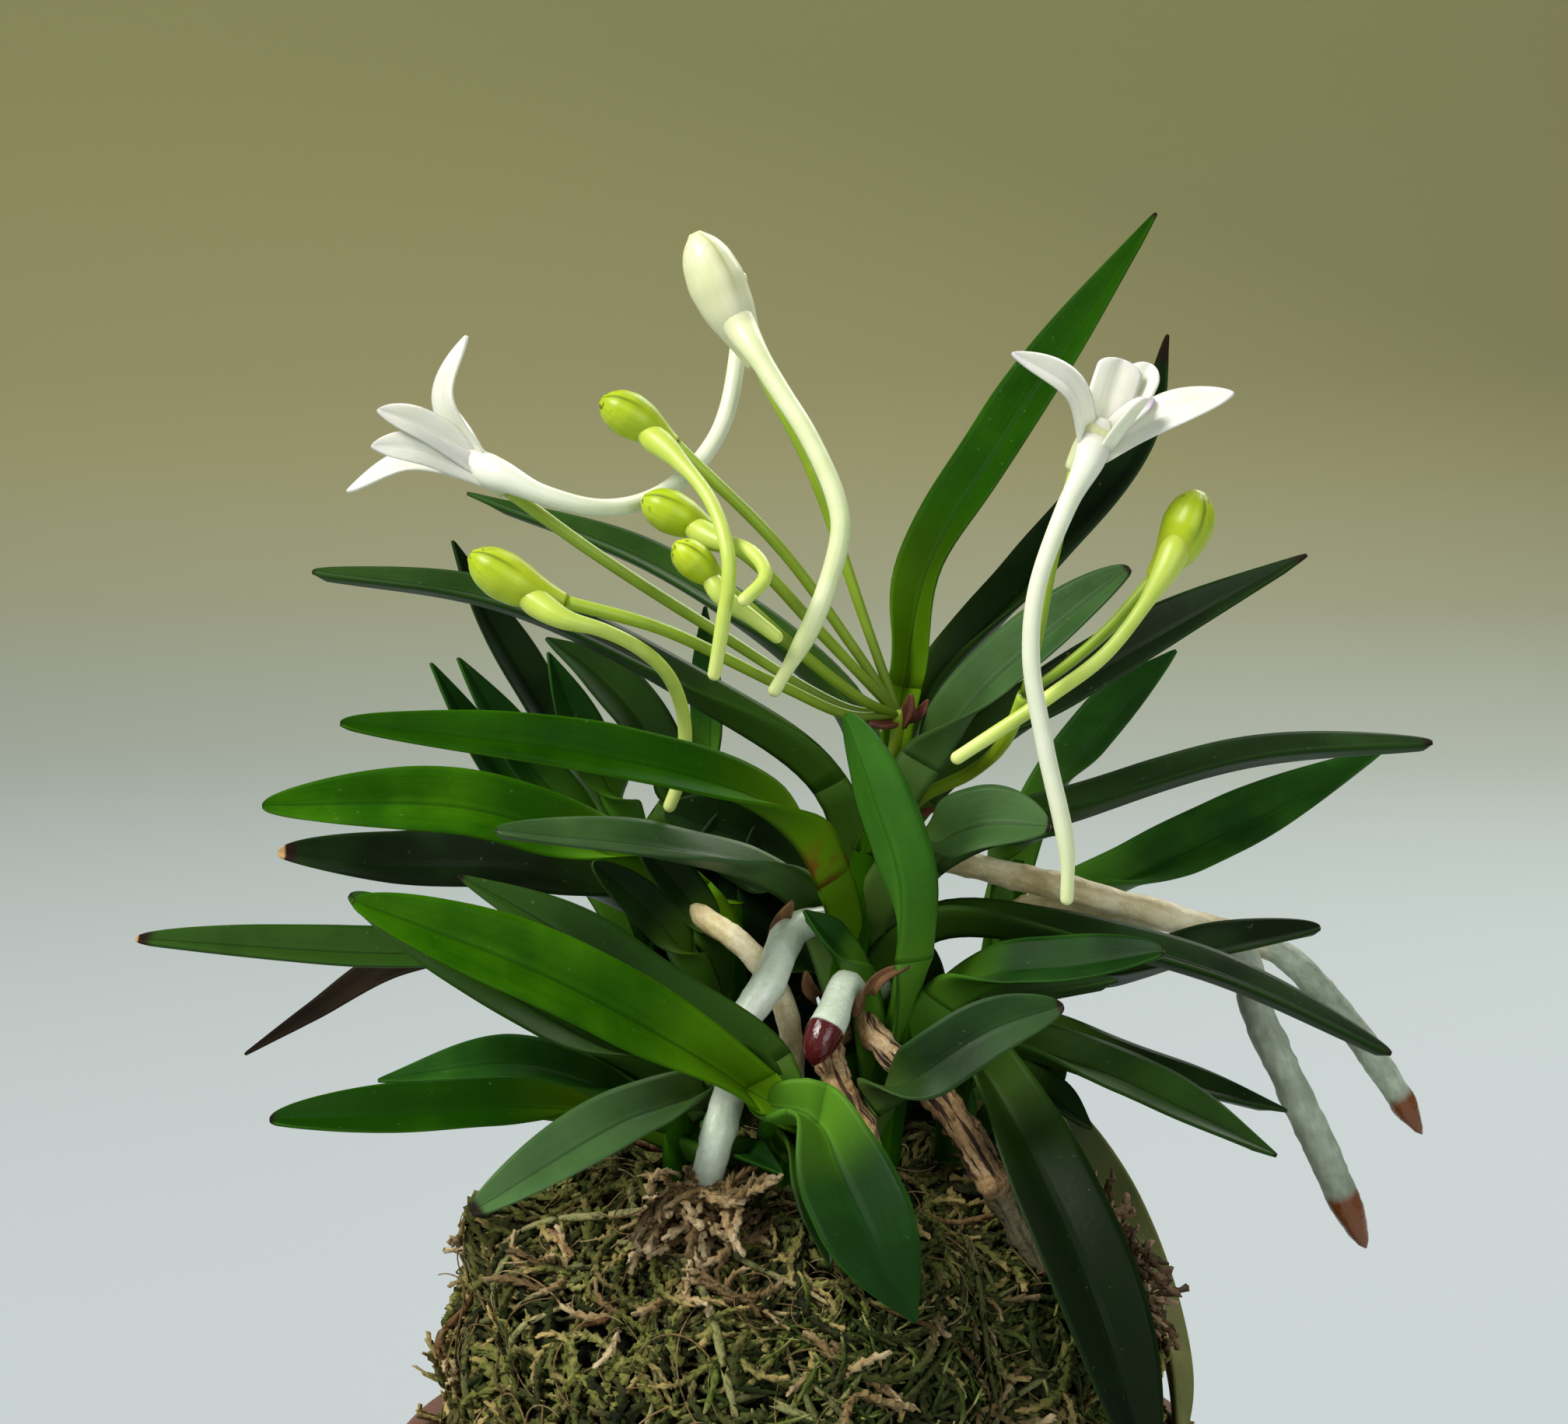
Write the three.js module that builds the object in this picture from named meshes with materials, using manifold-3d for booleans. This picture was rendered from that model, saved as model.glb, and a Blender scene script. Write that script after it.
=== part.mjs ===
// Potted wind orchid: a clump of short leafy stems with two flower stalks and aerial roots,
// grown on a mound of dried sphagnum moss that fills a plain round pot.
// Millimetres, +Z up, origin in the middle of the pot's underside, front of the plant towards -Y.
import * as THREE from "three";
import { mergeVertices } from "three/addons/utils/BufferGeometryUtils.js";
import Module from "manifold-3d";

const wasm = await Module();
wasm.setup();

// Driving dimensions
const POT_HEIGHT = 74;
const POT_FOOT_RADIUS = 27;
const POT_RIM_RADIUS = 40;
const POT_WALL = 4.5;
const POT_FLOOR = 7;
const RIM_BAND_HEIGHT = 9;
const DRAIN_HOLE_RADIUS = 3.5;
const DRAIN_CIRCLE_RADIUS = 15;
const DRAIN_HOLES = 3;
const MOUND_RADIUS = 33;
const MOUND_RISE = 29; // moss above the pot's rim
const GAP = 0.3; // clear space between pieces that touch on the real plant
const MARGIN_THICKNESS = 0.6; // of a leaf blade at its edge
const KEEL_THICKNESS = 1.6; // along the middle, where the blade leaves its sheath
const KEEL_THINNING = 0.72; // share of that left at the tip
const SEAM_FOLD = 56; // degrees that each half of a blade stands up where it leaves its sheath
const BLADE_FOLD = 23; // and further out
const SHEATH_FOLD = 74; // and where the sheath clasps the stem
const SEAM_NARROWING = 0.78; // width at the seam as a share of the blade's width
const FOOT_NARROWING = 0.9; // and where the sheath leaves the stem
const OPENS_BY = 0.42; // share of a blade's length by which it is open, wide and turned to its face
const TIP_FROM = 0.55; // share of a blade's length where it starts to narrow to its tip
const TIP_ROUNDNESS = 2.3; // exponent of the tip's outline: 2 is an ellipse, more is blunter

// Everything that grows is placed from the crown: the middle of the moss mound, just under its top.
const CROWN_HEIGHT = POT_HEIGHT + MOUND_RISE - 1;

// Colours
const TONES = {
  young: "#3d7c12",
  fresh: "#2f6a1c",
  old: "#1a3d22",
  grey: "#3a5d45",
  tired: "#6d7a2a",
};
const STEM_GREEN = "#47661f";
const STALK_GREEN = "#93ad2c";
const BUD_GREEN = "#b4c93a";
const CREAM = "#e9e7bd";
const WHITE = "#f1f0e8";
const ROOT_WHITE = "#b9bdb4";
const ROOT_TAN = "#a08a5f";
const ROOT_BROWN = "#7a5b3c";
const MOSS_BROWN = "#5f562c";
const POT_BROWN = "#6b4a3a";
const LEAF_ROUGHNESS = 0.38;
const PETAL_ROUGHNESS = 0.5;
const ROOT_ROUGHNESS = 0.75;
const MOSS_ROUGHNESS = 0.95;
const POT_ROUGHNESS = 0.6;

const vec = (p) => new THREE.Vector3(...p);
const degrees = (a) => (a * Math.PI) / 180;
const mix = THREE.MathUtils.lerp;
const smooth = (x) => THREE.MathUtils.smoothstep(x, 0, 1);

// A smooth curve through points given from the crown.
function route(points) {
  return new THREE.CatmullRomCurve3(points.map(vec), false, "centripetal");
}

// Share of a curve's length at which it passes its own point number index.
function shareAtPoint(curve, index) {
  const perSpan = 40;
  const lengths = curve.getLengths((curve.points.length - 1) * perSpan);
  return lengths[index * perSpan] / lengths[lengths.length - 1];
}

// Closed solid over a row of rings. Every ring has the same even number of points, where point j
// lies across from point (last - j), so that flat ends of any section close as a strip.
// The diagonal of each quad is mirrored between the two sides, which keeps thin blades even.
function skin(rings) {
  const n = rings[0].length;
  const at = (i, j) => i * n + (j % n);
  const faces = [];
  for (let i = 0; i < rings.length - 1; i++) {
    for (let j = 0; j < n; j++) {
      const [a, b, c, d] = [at(i, j), at(i, j + 1), at(i + 1, j + 1), at(i + 1, j)];
      if (j < n / 2) faces.push(a, c, b, a, d, c);
      else faces.push(a, d, b, b, d, c);
    }
  }
  for (let j = 0; j < n / 2 - 1; j++) {
    for (const [ring, turn] of [[0, false], [rings.length - 1, true]]) {
      const [a, b, c, d] = [at(ring, j), at(ring, j + 1), at(ring, n - 2 - j), at(ring, n - 1 - j)];
      faces.push(...(turn ? [a, c, b, a, d, c] : [a, b, c, a, c, d]));
    }
  }
  const vertProperties = new Float32Array(rings.flat().flatMap((p) => [p.x, p.y, p.z]));
  return new wasm.Manifold(
    new wasm.Mesh({ numProp: 3, vertProperties, triVerts: new Uint32Array(faces) }),
  );
}

// Several solids as one.
function join(solids) {
  return solids.reduce((sum, next) => sum.add(next));
}

// Ring of a folded blade: upper skin from the left margin to the right one, lower skin back.
function bladeRing(centre, tangent, face, size) {
  const up = face.clone().addScaledVector(tangent, -face.dot(tangent)).normalize();
  const across = new THREE.Vector3().crossVectors(up, tangent);
  const cos = Math.cos(size.fold);
  const sin = Math.sin(size.fold);
  const half = size.width / 2;
  const point = (side, drop) => {
    const x = side * (half * cos + sin * drop);
    const y = Math.abs(side) * half * sin - (side ? cos : 1) * drop;
    return centre.clone().addScaledVector(across, x).addScaledVector(up, y);
  };
  const upper = [point(-1, 0), point(0, 0), point(1, 0)];
  const lower = [point(1, size.margin), point(0, size.keel), point(-1, size.margin)];
  return [...upper, ...lower];
}

// Ring of a clasping sheath: a wedge with its keel below, filled by the stem and the younger
// leaves that it holds.
function sheathRing(centre, tangent, face, size) {
  const up = face.clone().addScaledVector(tangent, -face.dot(tangent)).normalize();
  const across = new THREE.Vector3().crossVectors(up, tangent);
  const wide = (size.width / 2) * Math.cos(size.fold);
  const high = (size.width / 2) * Math.sin(size.fold);
  const corners = [[-wide, high], [0, high * 0.8], [wide, high], [0, -size.keel]];
  return corners.map(([x, y]) => centre.clone().addScaledVector(across, x).addScaledVector(up, y));
}

const BLADE_RINGS = 8;
const SMALL_BLADE_RINGS = 4;
const SHEATH_RINGS = 2;
const CROWDING = 1.15; // above 1 the rings stand closer together towards the tip
const TIP_WIDTH = 0.9;

// Width of a leaf at share s of its length: narrow at the seam, long and even, round-pointed.
function leafWidth(s, width) {
  const opening = mix(SEAM_NARROWING, 1, smooth(s / OPENS_BY));
  const q = THREE.MathUtils.clamp((s - TIP_FROM) / (1 - TIP_FROM), 0, 1);
  return Math.max(TIP_WIDTH, width * opening * Math.sqrt(1 - q ** TIP_ROUNDNESS));
}

// A leaf grows from a node on its stem: the sheath clasps the stem up to the seam, and the blade
// goes on from there. The blade is a piece of its own, as it is on the plant, where it drops off
// at the seam. face is the way that the upper side looks.
function leaf(stemCurve, row) {
  const node = stemCurve.getPointAt(row.from);
  const apical = stemCurve.getTangentAt(row.from);
  const curve = route([node.toArray(), ...row.path]);
  const seam = shareAtPoint(curve, 1);
  const blade = vec(row.face).normalize();
  const small = row.piece === false;
  const placeRing = (make, share, s, fold, width) => {
    const face = apical.clone().lerp(blade, smooth(s / OPENS_BY));
    return make(curve.getPointAt(share), curve.getTangentAt(share), face, {
      width,
      fold: degrees(fold),
      margin: MARGIN_THICKNESS,
      keel: KEEL_THICKNESS * mix(1, KEEL_THINNING, s),
    });
  };
  const sheathRings = [];
  for (let i = 0; i <= SHEATH_RINGS; i++) {
    const back = 1 - i / SHEATH_RINGS;
    const width = row.width * mix(SEAM_NARROWING, FOOT_NARROWING, back);
    const fold = mix(SEAM_FOLD, SHEATH_FOLD, back);
    sheathRings.push(placeRing(small ? bladeRing : sheathRing, seam * (1 - back), 0, fold, width));
  }
  const bladeStart = seam + GAP / curve.getLength();
  const bladeRings = [];
  const ringCount = small ? SMALL_BLADE_RINGS : BLADE_RINGS;
  for (let i = 0; i <= ringCount; i++) {
    const s = 1 - (1 - i / ringCount) ** CROWDING;
    const fold = mix(SEAM_FOLD, BLADE_FOLD, smooth(s / OPENS_BY));
    const width = leafWidth(s, row.width);
    bladeRings.push(placeRing(bladeRing, mix(bladeStart, 1, s), s, fold, width));
  }
  if (small) return { sheath: skin([...sheathRings, ...bladeRings.slice(1)]) };
  return { sheath: skin(sheathRings), blade: skin(bladeRings) };
}

// Round tube along points given from the crown, with a radius at each point and perSpan rings from
// one to the next. grow swells it all over, to cut the hole that it stands in.
function tube(points, radii, sides, perSpan, grow = 0) {
  const curve = route(points);
  const spans = points.length - 1;
  const rings = [];
  let across = new THREE.Vector3(0.31, -0.83, 0.46);
  for (let i = 0; i <= spans * perSpan; i++) {
    const t = i / (spans * perSpan);
    const tangent = curve.getTangent(t);
    across = across.clone().addScaledVector(tangent, -across.dot(tangent)).normalize();
    const other = new THREE.Vector3().crossVectors(across, tangent);
    const span = Math.min(spans - 1, Math.floor(t * spans));
    const radius = mix(radii[span], radii[span + 1], t * spans - span) + grow;
    const end = i === 0 ? -grow : i === spans * perSpan ? grow : 0;
    const centre = curve.getPoint(t).addScaledVector(tangent, end);
    rings.push(
      Array.from({ length: sides }, (_, j) => {
        const angle = (2 * Math.PI * j) / sides;
        return centre
          .clone()
          .addScaledVector(across, radius * Math.cos(angle))
          .addScaledVector(other, radius * Math.sin(angle));
      }),
    );
  }
  return skin(rings);
}

// Stems: their axes from the foot in the moss to the growing point.
const STEM_SIDES = 6;
const STEM_TIP_SHARE = 0.6; // radius of the growing point as a share of the stem's
const STEMS = {
  main: { axis: [[3.5, 3, -7], [4.5, 2, 13], [6, 1, 25], [7.8, 0.5, 35], [8.6, 0.5, 39]], radius: 2.3 },
  front: { axis: [[6.5, -4.5, -7], [8, -7, 8], [9.3, -8.5, 16], [9.8, -9, 20]], radius: 1.9 },
  low: { axis: [[-2.5, -10, -7], [-2.6, -12, 2], [-2.2, -14.5, 6.6], [-1.5, -19, 9.4]], radius: 1.8 },
  left: { axis: [[-7.5, 3, -7], [-7.5, 3.5, 11], [-6.6, 4, 24]], radius: 2.1 },
  left_low: { axis: [[-11.4, -4, -7], [-11.2, -5, 3], [-10.8, -7.2, 8.5]], radius: 1.7 },
  back_left: { axis: [[-13, 14, -7], [-14, 16.5, 12], [-15, 17.5, 26]], radius: 1.9 },
  back_right: { axis: [[15.5, 12, -7], [19, 15.5, 12], [21.3, 16, 26]], radius: 1.9 },
  right: { axis: [[14, -1, -7], [14.6, -2, 4], [14.6, -4.5, 9.5]], radius: 1.9 },
};

// Leaves: path runs from the seam to the tip. Those with piece: false are small or hidden ones,
// and stay in one piece with their stem.
const LEAVES = [
  { name: "main_left_1", stem: "main", from: 0.8, width: 5.2, tone: "old", face: [0.3, -0.45, 0.8],
    path: [[5.2, 2.8, 40.5], [1.5, 6, 45.3], [-13.5, 13, 55], [-32.4, 17, 62]] },
  { name: "main_left_2", stem: "main", from: 0.68, width: 5.6, tone: "old", face: [0.1, -0.35, 1],
    path: [[2.4, -0.8, 36], [-9.3, -3.5, 44.8], [-27, -4, 53.4], [-45, -2, 56.2]] },
  { name: "main_left_3", stem: "main", from: 0.5, width: 6.2, tone: "young", face: [0, -0.75, 0.75],
    path: [[2.2, -6, 28.1], [-2.1, -13.5, 35.7], [-15.6, -22, 41.6], [-39.7, -25, 45.4]] },
  { name: "main_left_4", stem: "main", from: 0.42, width: 6, tone: "old", face: [0, -0.45, 0.9],
    path: [[0.6, 1, 24], [-3.8, -4, 28.4], [-12.6, -13, 32.2], [-27.2, -17, 34.6]] },
  { name: "main_right_1", stem: "main", from: 0.86, width: 6.8, tone: "young", face: [-0.6, -0.8, 0.3],
    path: [[9.6, 2, 44.8], [12.1, 5.5, 55.9], [19.8, 9, 68.4], [33.5, 11, 88.9]] },
  { name: "main_right_2", stem: "main", from: 0.78, width: 6.4, tone: "old", face: [-0.6, -0.7, 0.5],
    path: [[11.6, 4.5, 42.6], [22.4, 10, 54.8], [33.2, 15, 67.6], [35.3, 16, 77.3]] },
  { name: "main_right_3", stem: "main", from: 0.72, width: 6.6, tone: "grey", face: [-0.35, -0.75, 0.7],
    path: [[11.6, -4.4, 38.6], [16.5, -5.4, 45.4], [23.9, -5.6, 52], [29.8, -6, 56.9]] },
  { name: "main_right_4", stem: "main", from: 0.64, width: 7, tone: "old", face: [-0.3, -0.6, 0.75],
    path: [[11.8, 3.5, 34], [23.6, 6, 42.8], [34.8, 8, 49.3], [48, 8, 56.8]] },
  { name: "main_right_5", stem: "main", from: 0.56, width: 7.4, tone: "grey", face: [0, -0.8, 0.6],
    path: [[11.2, -5.2, 30], [16.3, -9, 33.6], [22.4, -11.6, 34]] },
  { name: "main_right_6", stem: "main", from: 0.48, width: 6.2, tone: "old", face: [-0.1, -0.2, 1],
    path: [[12.4, 3, 27.8], [27.3, 4, 33.4], [41.9, 4, 37.8], [59.3, 2, 39.7]] },
  { name: "main_right_7", stem: "main", from: 0.36, width: 5.8, tone: "old", face: [0.1, -0.25, 1],
    path: [[11.4, -2, 22.4], [22.9, -6, 23.1], [37.1, -8, 20], [54.4, -8, 12.2]] },
  { name: "front_1", stem: "front", from: 0.62, width: 6.2, tone: "fresh", face: [0.3, 0.9, 0.2],
    path: [[9.4, -12.6, 22], [9.2, -14.4, 29.6], [6.5, -14.7, 38], [4.1, -13, 44.5]] },
  { name: "front_2", stem: "front", from: 0.5, width: 6.2, tone: "fresh", face: [0, -0.6, 0.8],
    path: [[13.2, -10.2, 17.4], [17.4, -13.6, 20.8], [24.1, -17.5, 22.4], [31.9, -20, 24.3]] },
  { name: "front_3", stem: "front", from: 0.42, width: 6.4, tone: "grey", face: [0.1, -0.85, 0.5],
    path: [[6.8, -13.6, 9], [10.6, -17.4, 12.4], [16.8, -19.4, 17], [23.1, -20, 19.4]] },
  { name: "low_1", stem: "low", from: 0.86, width: 8, tone: "young", face: [-0.1, -0.8, 0.6],
    path: [[-5, -19.3, 11.6], [-10.4, -24, 16.4], [-22, -30.5, 24.4], [-37.8, -33.5, 31.5]] },
  { name: "low_2", stem: "low", from: 0.6, width: 7, tone: "old", face: [0.1, -0.75, 0.65],
    path: [[-3.4, -14.8, 12.3], [-13, -18.5, 19.6], [-22.5, -22, 27.2], [-30, -22, 31.5]] },
  { name: "low_3", stem: "low", from: 0.9, width: 9.2, tone: "fresh", face: [-0.1, -0.9, 0.45],
    path: [[1.4, -22, 9.2], [3.4, -27, 6.4], [6.5, -32, 1], [9.7, -33.4, -5.3]] },
  { name: "low_4", stem: "left_low", from: 0.82, width: 6.3, tone: "grey", face: [0, -0.75, 0.7],
    path: [[-8.6, -10.5, 8.8], [-12.7, -17.6, 9.4], [-17, -24, 9.2], [-28.6, -30, 3.4]] },
  { name: "left_1", stem: "left", from: 0.78, width: 7.4, tone: "young", face: [0.1, -0.85, 0.55],
    path: [[-10.8, 2.5, 24.6], [-20, 0, 30], [-31.1, -2, 34], [-50.1, -2, 34.3]] },
  { name: "left_2", stem: "left", from: 0.6, width: 7.6, tone: "old", face: [0, -0.7, 0.7],
    path: [[-10.6, 5.4, 20], [-24.5, 6, 26.4], [-39.3, 6, 27.2], [-49.6, 4, 28.8]] },
  { name: "left_3", stem: "left", from: 0.42, width: 5.6, tone: "old", face: [0, -0.58, 0.8],
    path: [[-11, 3, 14], [-24.3, 2, 18.8], [-42.4, 0, 19.9], [-62.2, -2, 21.7]] },
  { name: "left_4", stem: "left", from: 0.3, width: 4.2, tone: "old", face: [0, -0.7, 0.7],
    path: [[-12, 7.5, 10.5], [-25, 11, 18], [-38.7, 12.4, 16.4], [-47.9, 13, 11.1], [-54.7, 13, 7]] },
  { name: "left_low_1", stem: "left_low", from: 0.88, width: 6.6, tone: "old", face: [0, -0.7, 0.7],
    path: [[-13, -10.4, 10.6], [-20, -15.5, 15.6], [-30.4, -19.5, 23], [-39.8, -20, 29.4]] },
  { name: "left_low_2", stem: "left_low", from: 0.75, width: 5.6, tone: "fresh", face: [0, -0.6, 0.8],
    path: [[-15, -8.6, 7], [-19, -13, 10.6], [-25.5, -17, 13.4], [-37.6, -20, 12.7]] },
  { name: "left_low_3", stem: "left_low", from: 0.62, width: 6.8, tone: "young", face: [0, -0.6, 0.85],
    path: [[-15.6, -4.4, 4.6], [-24.4, -9, 7.2], [-37.6, -12, 7.3], [-48.5, -12, 7]] },
  { name: "back_left_1", stem: "back_left", from: 0.75, width: 5.6, tone: "old", face: [0.6, -0.7, 0.3],
    path: [[-19, 19, 29], [-26.2, 22, 40.9], [-31.5, 22, 50.2], [-34.1, 20, 57]] },
  { name: "back_left_2", stem: "back_left", from: 0.82, width: 6.4, tone: "old", face: [0.4, -0.7, 0.5],
    path: [[-12.6, 15.4, 31.4], [-15.4, 15.2, 39], [-20.2, 15.4, 44.5], [-24.7, 15, 48]] },
  { name: "back_right_1", stem: "back_right", from: 0.8, width: 6, tone: "fresh", face: [-0.5, -0.7, 0.4],
    path: [[23.2, 16, 30], [30, 18, 39], [37.1, 20, 46.2]] },
  { name: "back_right_2", stem: "back_right", from: 0.5, width: 7.6, tone: "fresh", face: [-0.2, -0.7, 0.65],
    path: [[24.4, 18.4, 19.2], [34.3, 20.5, 23.7], [47.6, 22, 29.9], [58.5, 22, 36.2]] },
  { name: "back_right_3", stem: "back_right", from: 0.34, width: 6, tone: "old", face: [0, -0.4, 0.9],
    path: [[24.6, 15.5, 13.6], [30.5, 8, 16.2], [37.5, 3.2, 19.3], [49.3, 3, 21.8]] },
  { name: "right_1", stem: "right", from: 0.9, width: 6.2, tone: "old", face: [0.2, -0.5, 0.8],
    path: [[18.4, -5.4, 12], [26.7, -7, 10.5], [35.9, -8.5, 6.7], [43.9, -9, 2.8]] },
  { name: "right_2", stem: "right", from: 0.8, width: 9, tone: "old", face: [0.3, -0.9, 0.35],
    path: [[15.8, -7.8, 11.2], [20.6, -16.4, 4.8], [26, -24.4, -6.4], [30.7, -26.4, -21.4]] },
  { name: "right_3", stem: "right", from: 0.7, width: 6.6, tone: "tired", face: [0.8, -0.45, 0.35],
    path: [[19, 4.4, 5.4], [24, 11.5, 1.2], [31.8, 16, -9.6], [36.2, 5, -21.5], [36.4, -2, -26.6]] },
  { name: "front_small", stem: "front", from: 0.4, width: 4, piece: false, face: [0.3, -0.6, 0.8],
    path: [[5.2, -9.6, 20], [2.8, -11, 23.4], [0.3, -11.5, 26.3]] },
  { name: "front_under", stem: "front", from: 0.36, width: 5, piece: false, face: [0.1, -0.3, 1],
    path: [[12.4, -6.4, 15.2], [19.4, -7.6, 17.4], [28.8, -10, 19.6]] },
  { name: "low_under", stem: "low", from: 0.7, width: 5, piece: false, face: [0, -0.9, 0.5],
    path: [[-0.4, -19.6, 6.4], [1.6, -24, 3.4], [2.4, -28.6, -1.6]] },
  { name: "left_low_small", stem: "left_low", from: 0.6, width: 3.4, piece: false, face: [0, -0.7, 0.7],
    path: [[-8.8, -10.5, 3.4], [-5.6, -15, 4.6], [-4, -19.6, 5.6], [-1.7, -23, 5]] },
  { name: "left_inner_1", stem: "left", from: 0.5, width: 4.6, piece: false, face: [0.5, -0.8, 0.2],
    path: [[-10, -1.6, 18.4], [-14, -4.8, 24.6], [-19, -8, 30]] },
  { name: "left_inner_2", stem: "left", from: 0.56, width: 4.6, piece: false, face: [0.5, -0.8, 0.2],
    path: [[-8.4, 0.4, 20], [-11, -2, 26], [-15, -4.4, 31]] },
  { name: "back_left_3", stem: "back_left", from: 0.55, width: 4.6, piece: false, face: [0.5, -0.7, 0.3],
    path: [[-20.4, 15.5, 24], [-29.5, 14, 35], [-35.6, 12, 45.9]] },
  { name: "back_left_4", stem: "back_left", from: 0.66, width: 5.4, piece: false, face: [0.5, -0.7, 0.3],
    path: [[-18.6, 13, 26.6], [-26.4, 10.5, 36.4], [-32.6, 8, 46.9]] },
  { name: "back_left_5", stem: "back_left", from: 0.72, width: 5.2, piece: false, face: [0.4, -0.8, 0.2],
    path: [[-17, 12.4, 30], [-20.6, 9.5, 38], [-24, 8, 47.4]] },
  { name: "back_left_6", stem: "back_left", from: 0.9, width: 4.2, piece: false, face: [-0.5, -0.7, 0.3],
    path: [[-9.6, 18, 31], [-8.8, 17.4, 39.3], [-9.4, 17, 50.8]] },
  { name: "back_right_4", stem: "back_right", from: 0.66, width: 5, piece: false, face: [-0.3, -0.5, 0.8],
    path: [[19.6, 11.4, 27.4], [22.6, 7.6, 30.2], [25.6, 5, 31]] },
  { name: "right_small", stem: "right", from: 0.74, width: 4.4, piece: false, face: [0.3, -0.5, 0.8],
    path: [[18.6, -0.6, 8], [23, -0.5, 6.6], [27.6, -1, 3.2]] },
  { name: "right_back", stem: "right", from: 0.8, width: 5.2, piece: false, face: [0.1, -0.4, 1],
    path: [[18.6, 1.4, 12], [35.1, 3.5, 6.9], [46.4, 2, 4.2]] },
];

// Aerial roots: points and radii from the end in the stem to the tip.
const ROOT_SIDES = 6;
const ROOTS = [
  { name: "root_white_front", stem: "main", colour: ROOT_WHITE,
    points: [[3.4, 0.5, 23], [-0.8, -4.4, 22.9], [-3, -9.2, 19], [-6.1, -11.6, 14.4],
      [-6.4, -14.4, 10.7], [-7.4, -17.6, 7.4], [-10, -17.8, -3]],
    radii: [1.3, 1.5, 1.5, 1.4, 1.4, 1.6, 1.3] },
  { name: "root_tan_front", stem: "left", colour: ROOT_TAN,
    points: [[-8.6, 1.8, 22.6], [-9.2, -1.6, 23.8], [-5.2, -4.6, 21.4], [-1.6, -6.5, 16.2],
      [-1.4, -6.7, 3], [-1.6, -6.2, -3]],
    radii: [1, 1.15, 1.2, 1.2, 1.2, 1.1] },
  { name: "root_short_front", stem: "front", colour: ROOT_WHITE,
    points: [[7.4, -7, 18], [4.4, -9.6, 19.2], [2.8, -12, 16.6], [1.7, -13.6, 14.6], [1, -14.6, 12.6]],
    radii: [1.3, 1.55, 1.6, 1.5, 0.6] },
  { name: "root_brown_front", stem: "main", colour: ROOT_BROWN,
    points: [[4.4, 1.8, 12], [2.4, -7.4, 13], [3.4, -12.9, 10.2], [5.8, -15.2, 6], [6.6, -14.6, -3]],
    radii: [1.1, 1.4, 1.4, 1.4, 1.2] },
  { name: "root_brown_right", stem: "front", colour: ROOT_BROWN,
    points: [[8.6, -7.4, 14.6], [6.2, -9.2, 15], [7.6, -10.8, 13.4], [10.4, -11.6, 11], [12, -12.8, 10],
      [17.2, -14.2, 2.3], [21.8, -19.6, -5.2]],
    radii: [1.1, 1.4, 1.5, 1.5, 1.7, 1.7, 1.1] },
  { name: "root_tan_right", stem: "main", colour: ROOT_TAN,
    points: [[6.4, 2.6, 26.6], [12.8, 8, 27.4], [20.2, 8, 25.8], [36.1, 8.6, 21.4], [42.2, 9, 18.6],
      [44.2, 8.4, 12.4], [46.9, 7, 6.5], [50.4, 6, -0.9], [53.4, 6, -7.4], [54.9, 6, -10.6]],
    radii: [1.1, 1.35, 1.4, 1.45, 1.6, 1.75, 1.75, 1.75, 1.6, 0.5] },
  { name: "root_brown_back", stem: "back_right", colour: ROOT_TAN,
    points: [[19.6, 14.4, 19.4], [22, 11.8, 22], [37, 12, 20.3], [46.4, 12.4, 17.6], [51.4, 12, 13],
      [57.4, 11, 5.2], [61, 11, -0.6]],
    radii: [1, 1.2, 1.35, 1.4, 1.5, 1.5, 0.5] },
];

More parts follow.
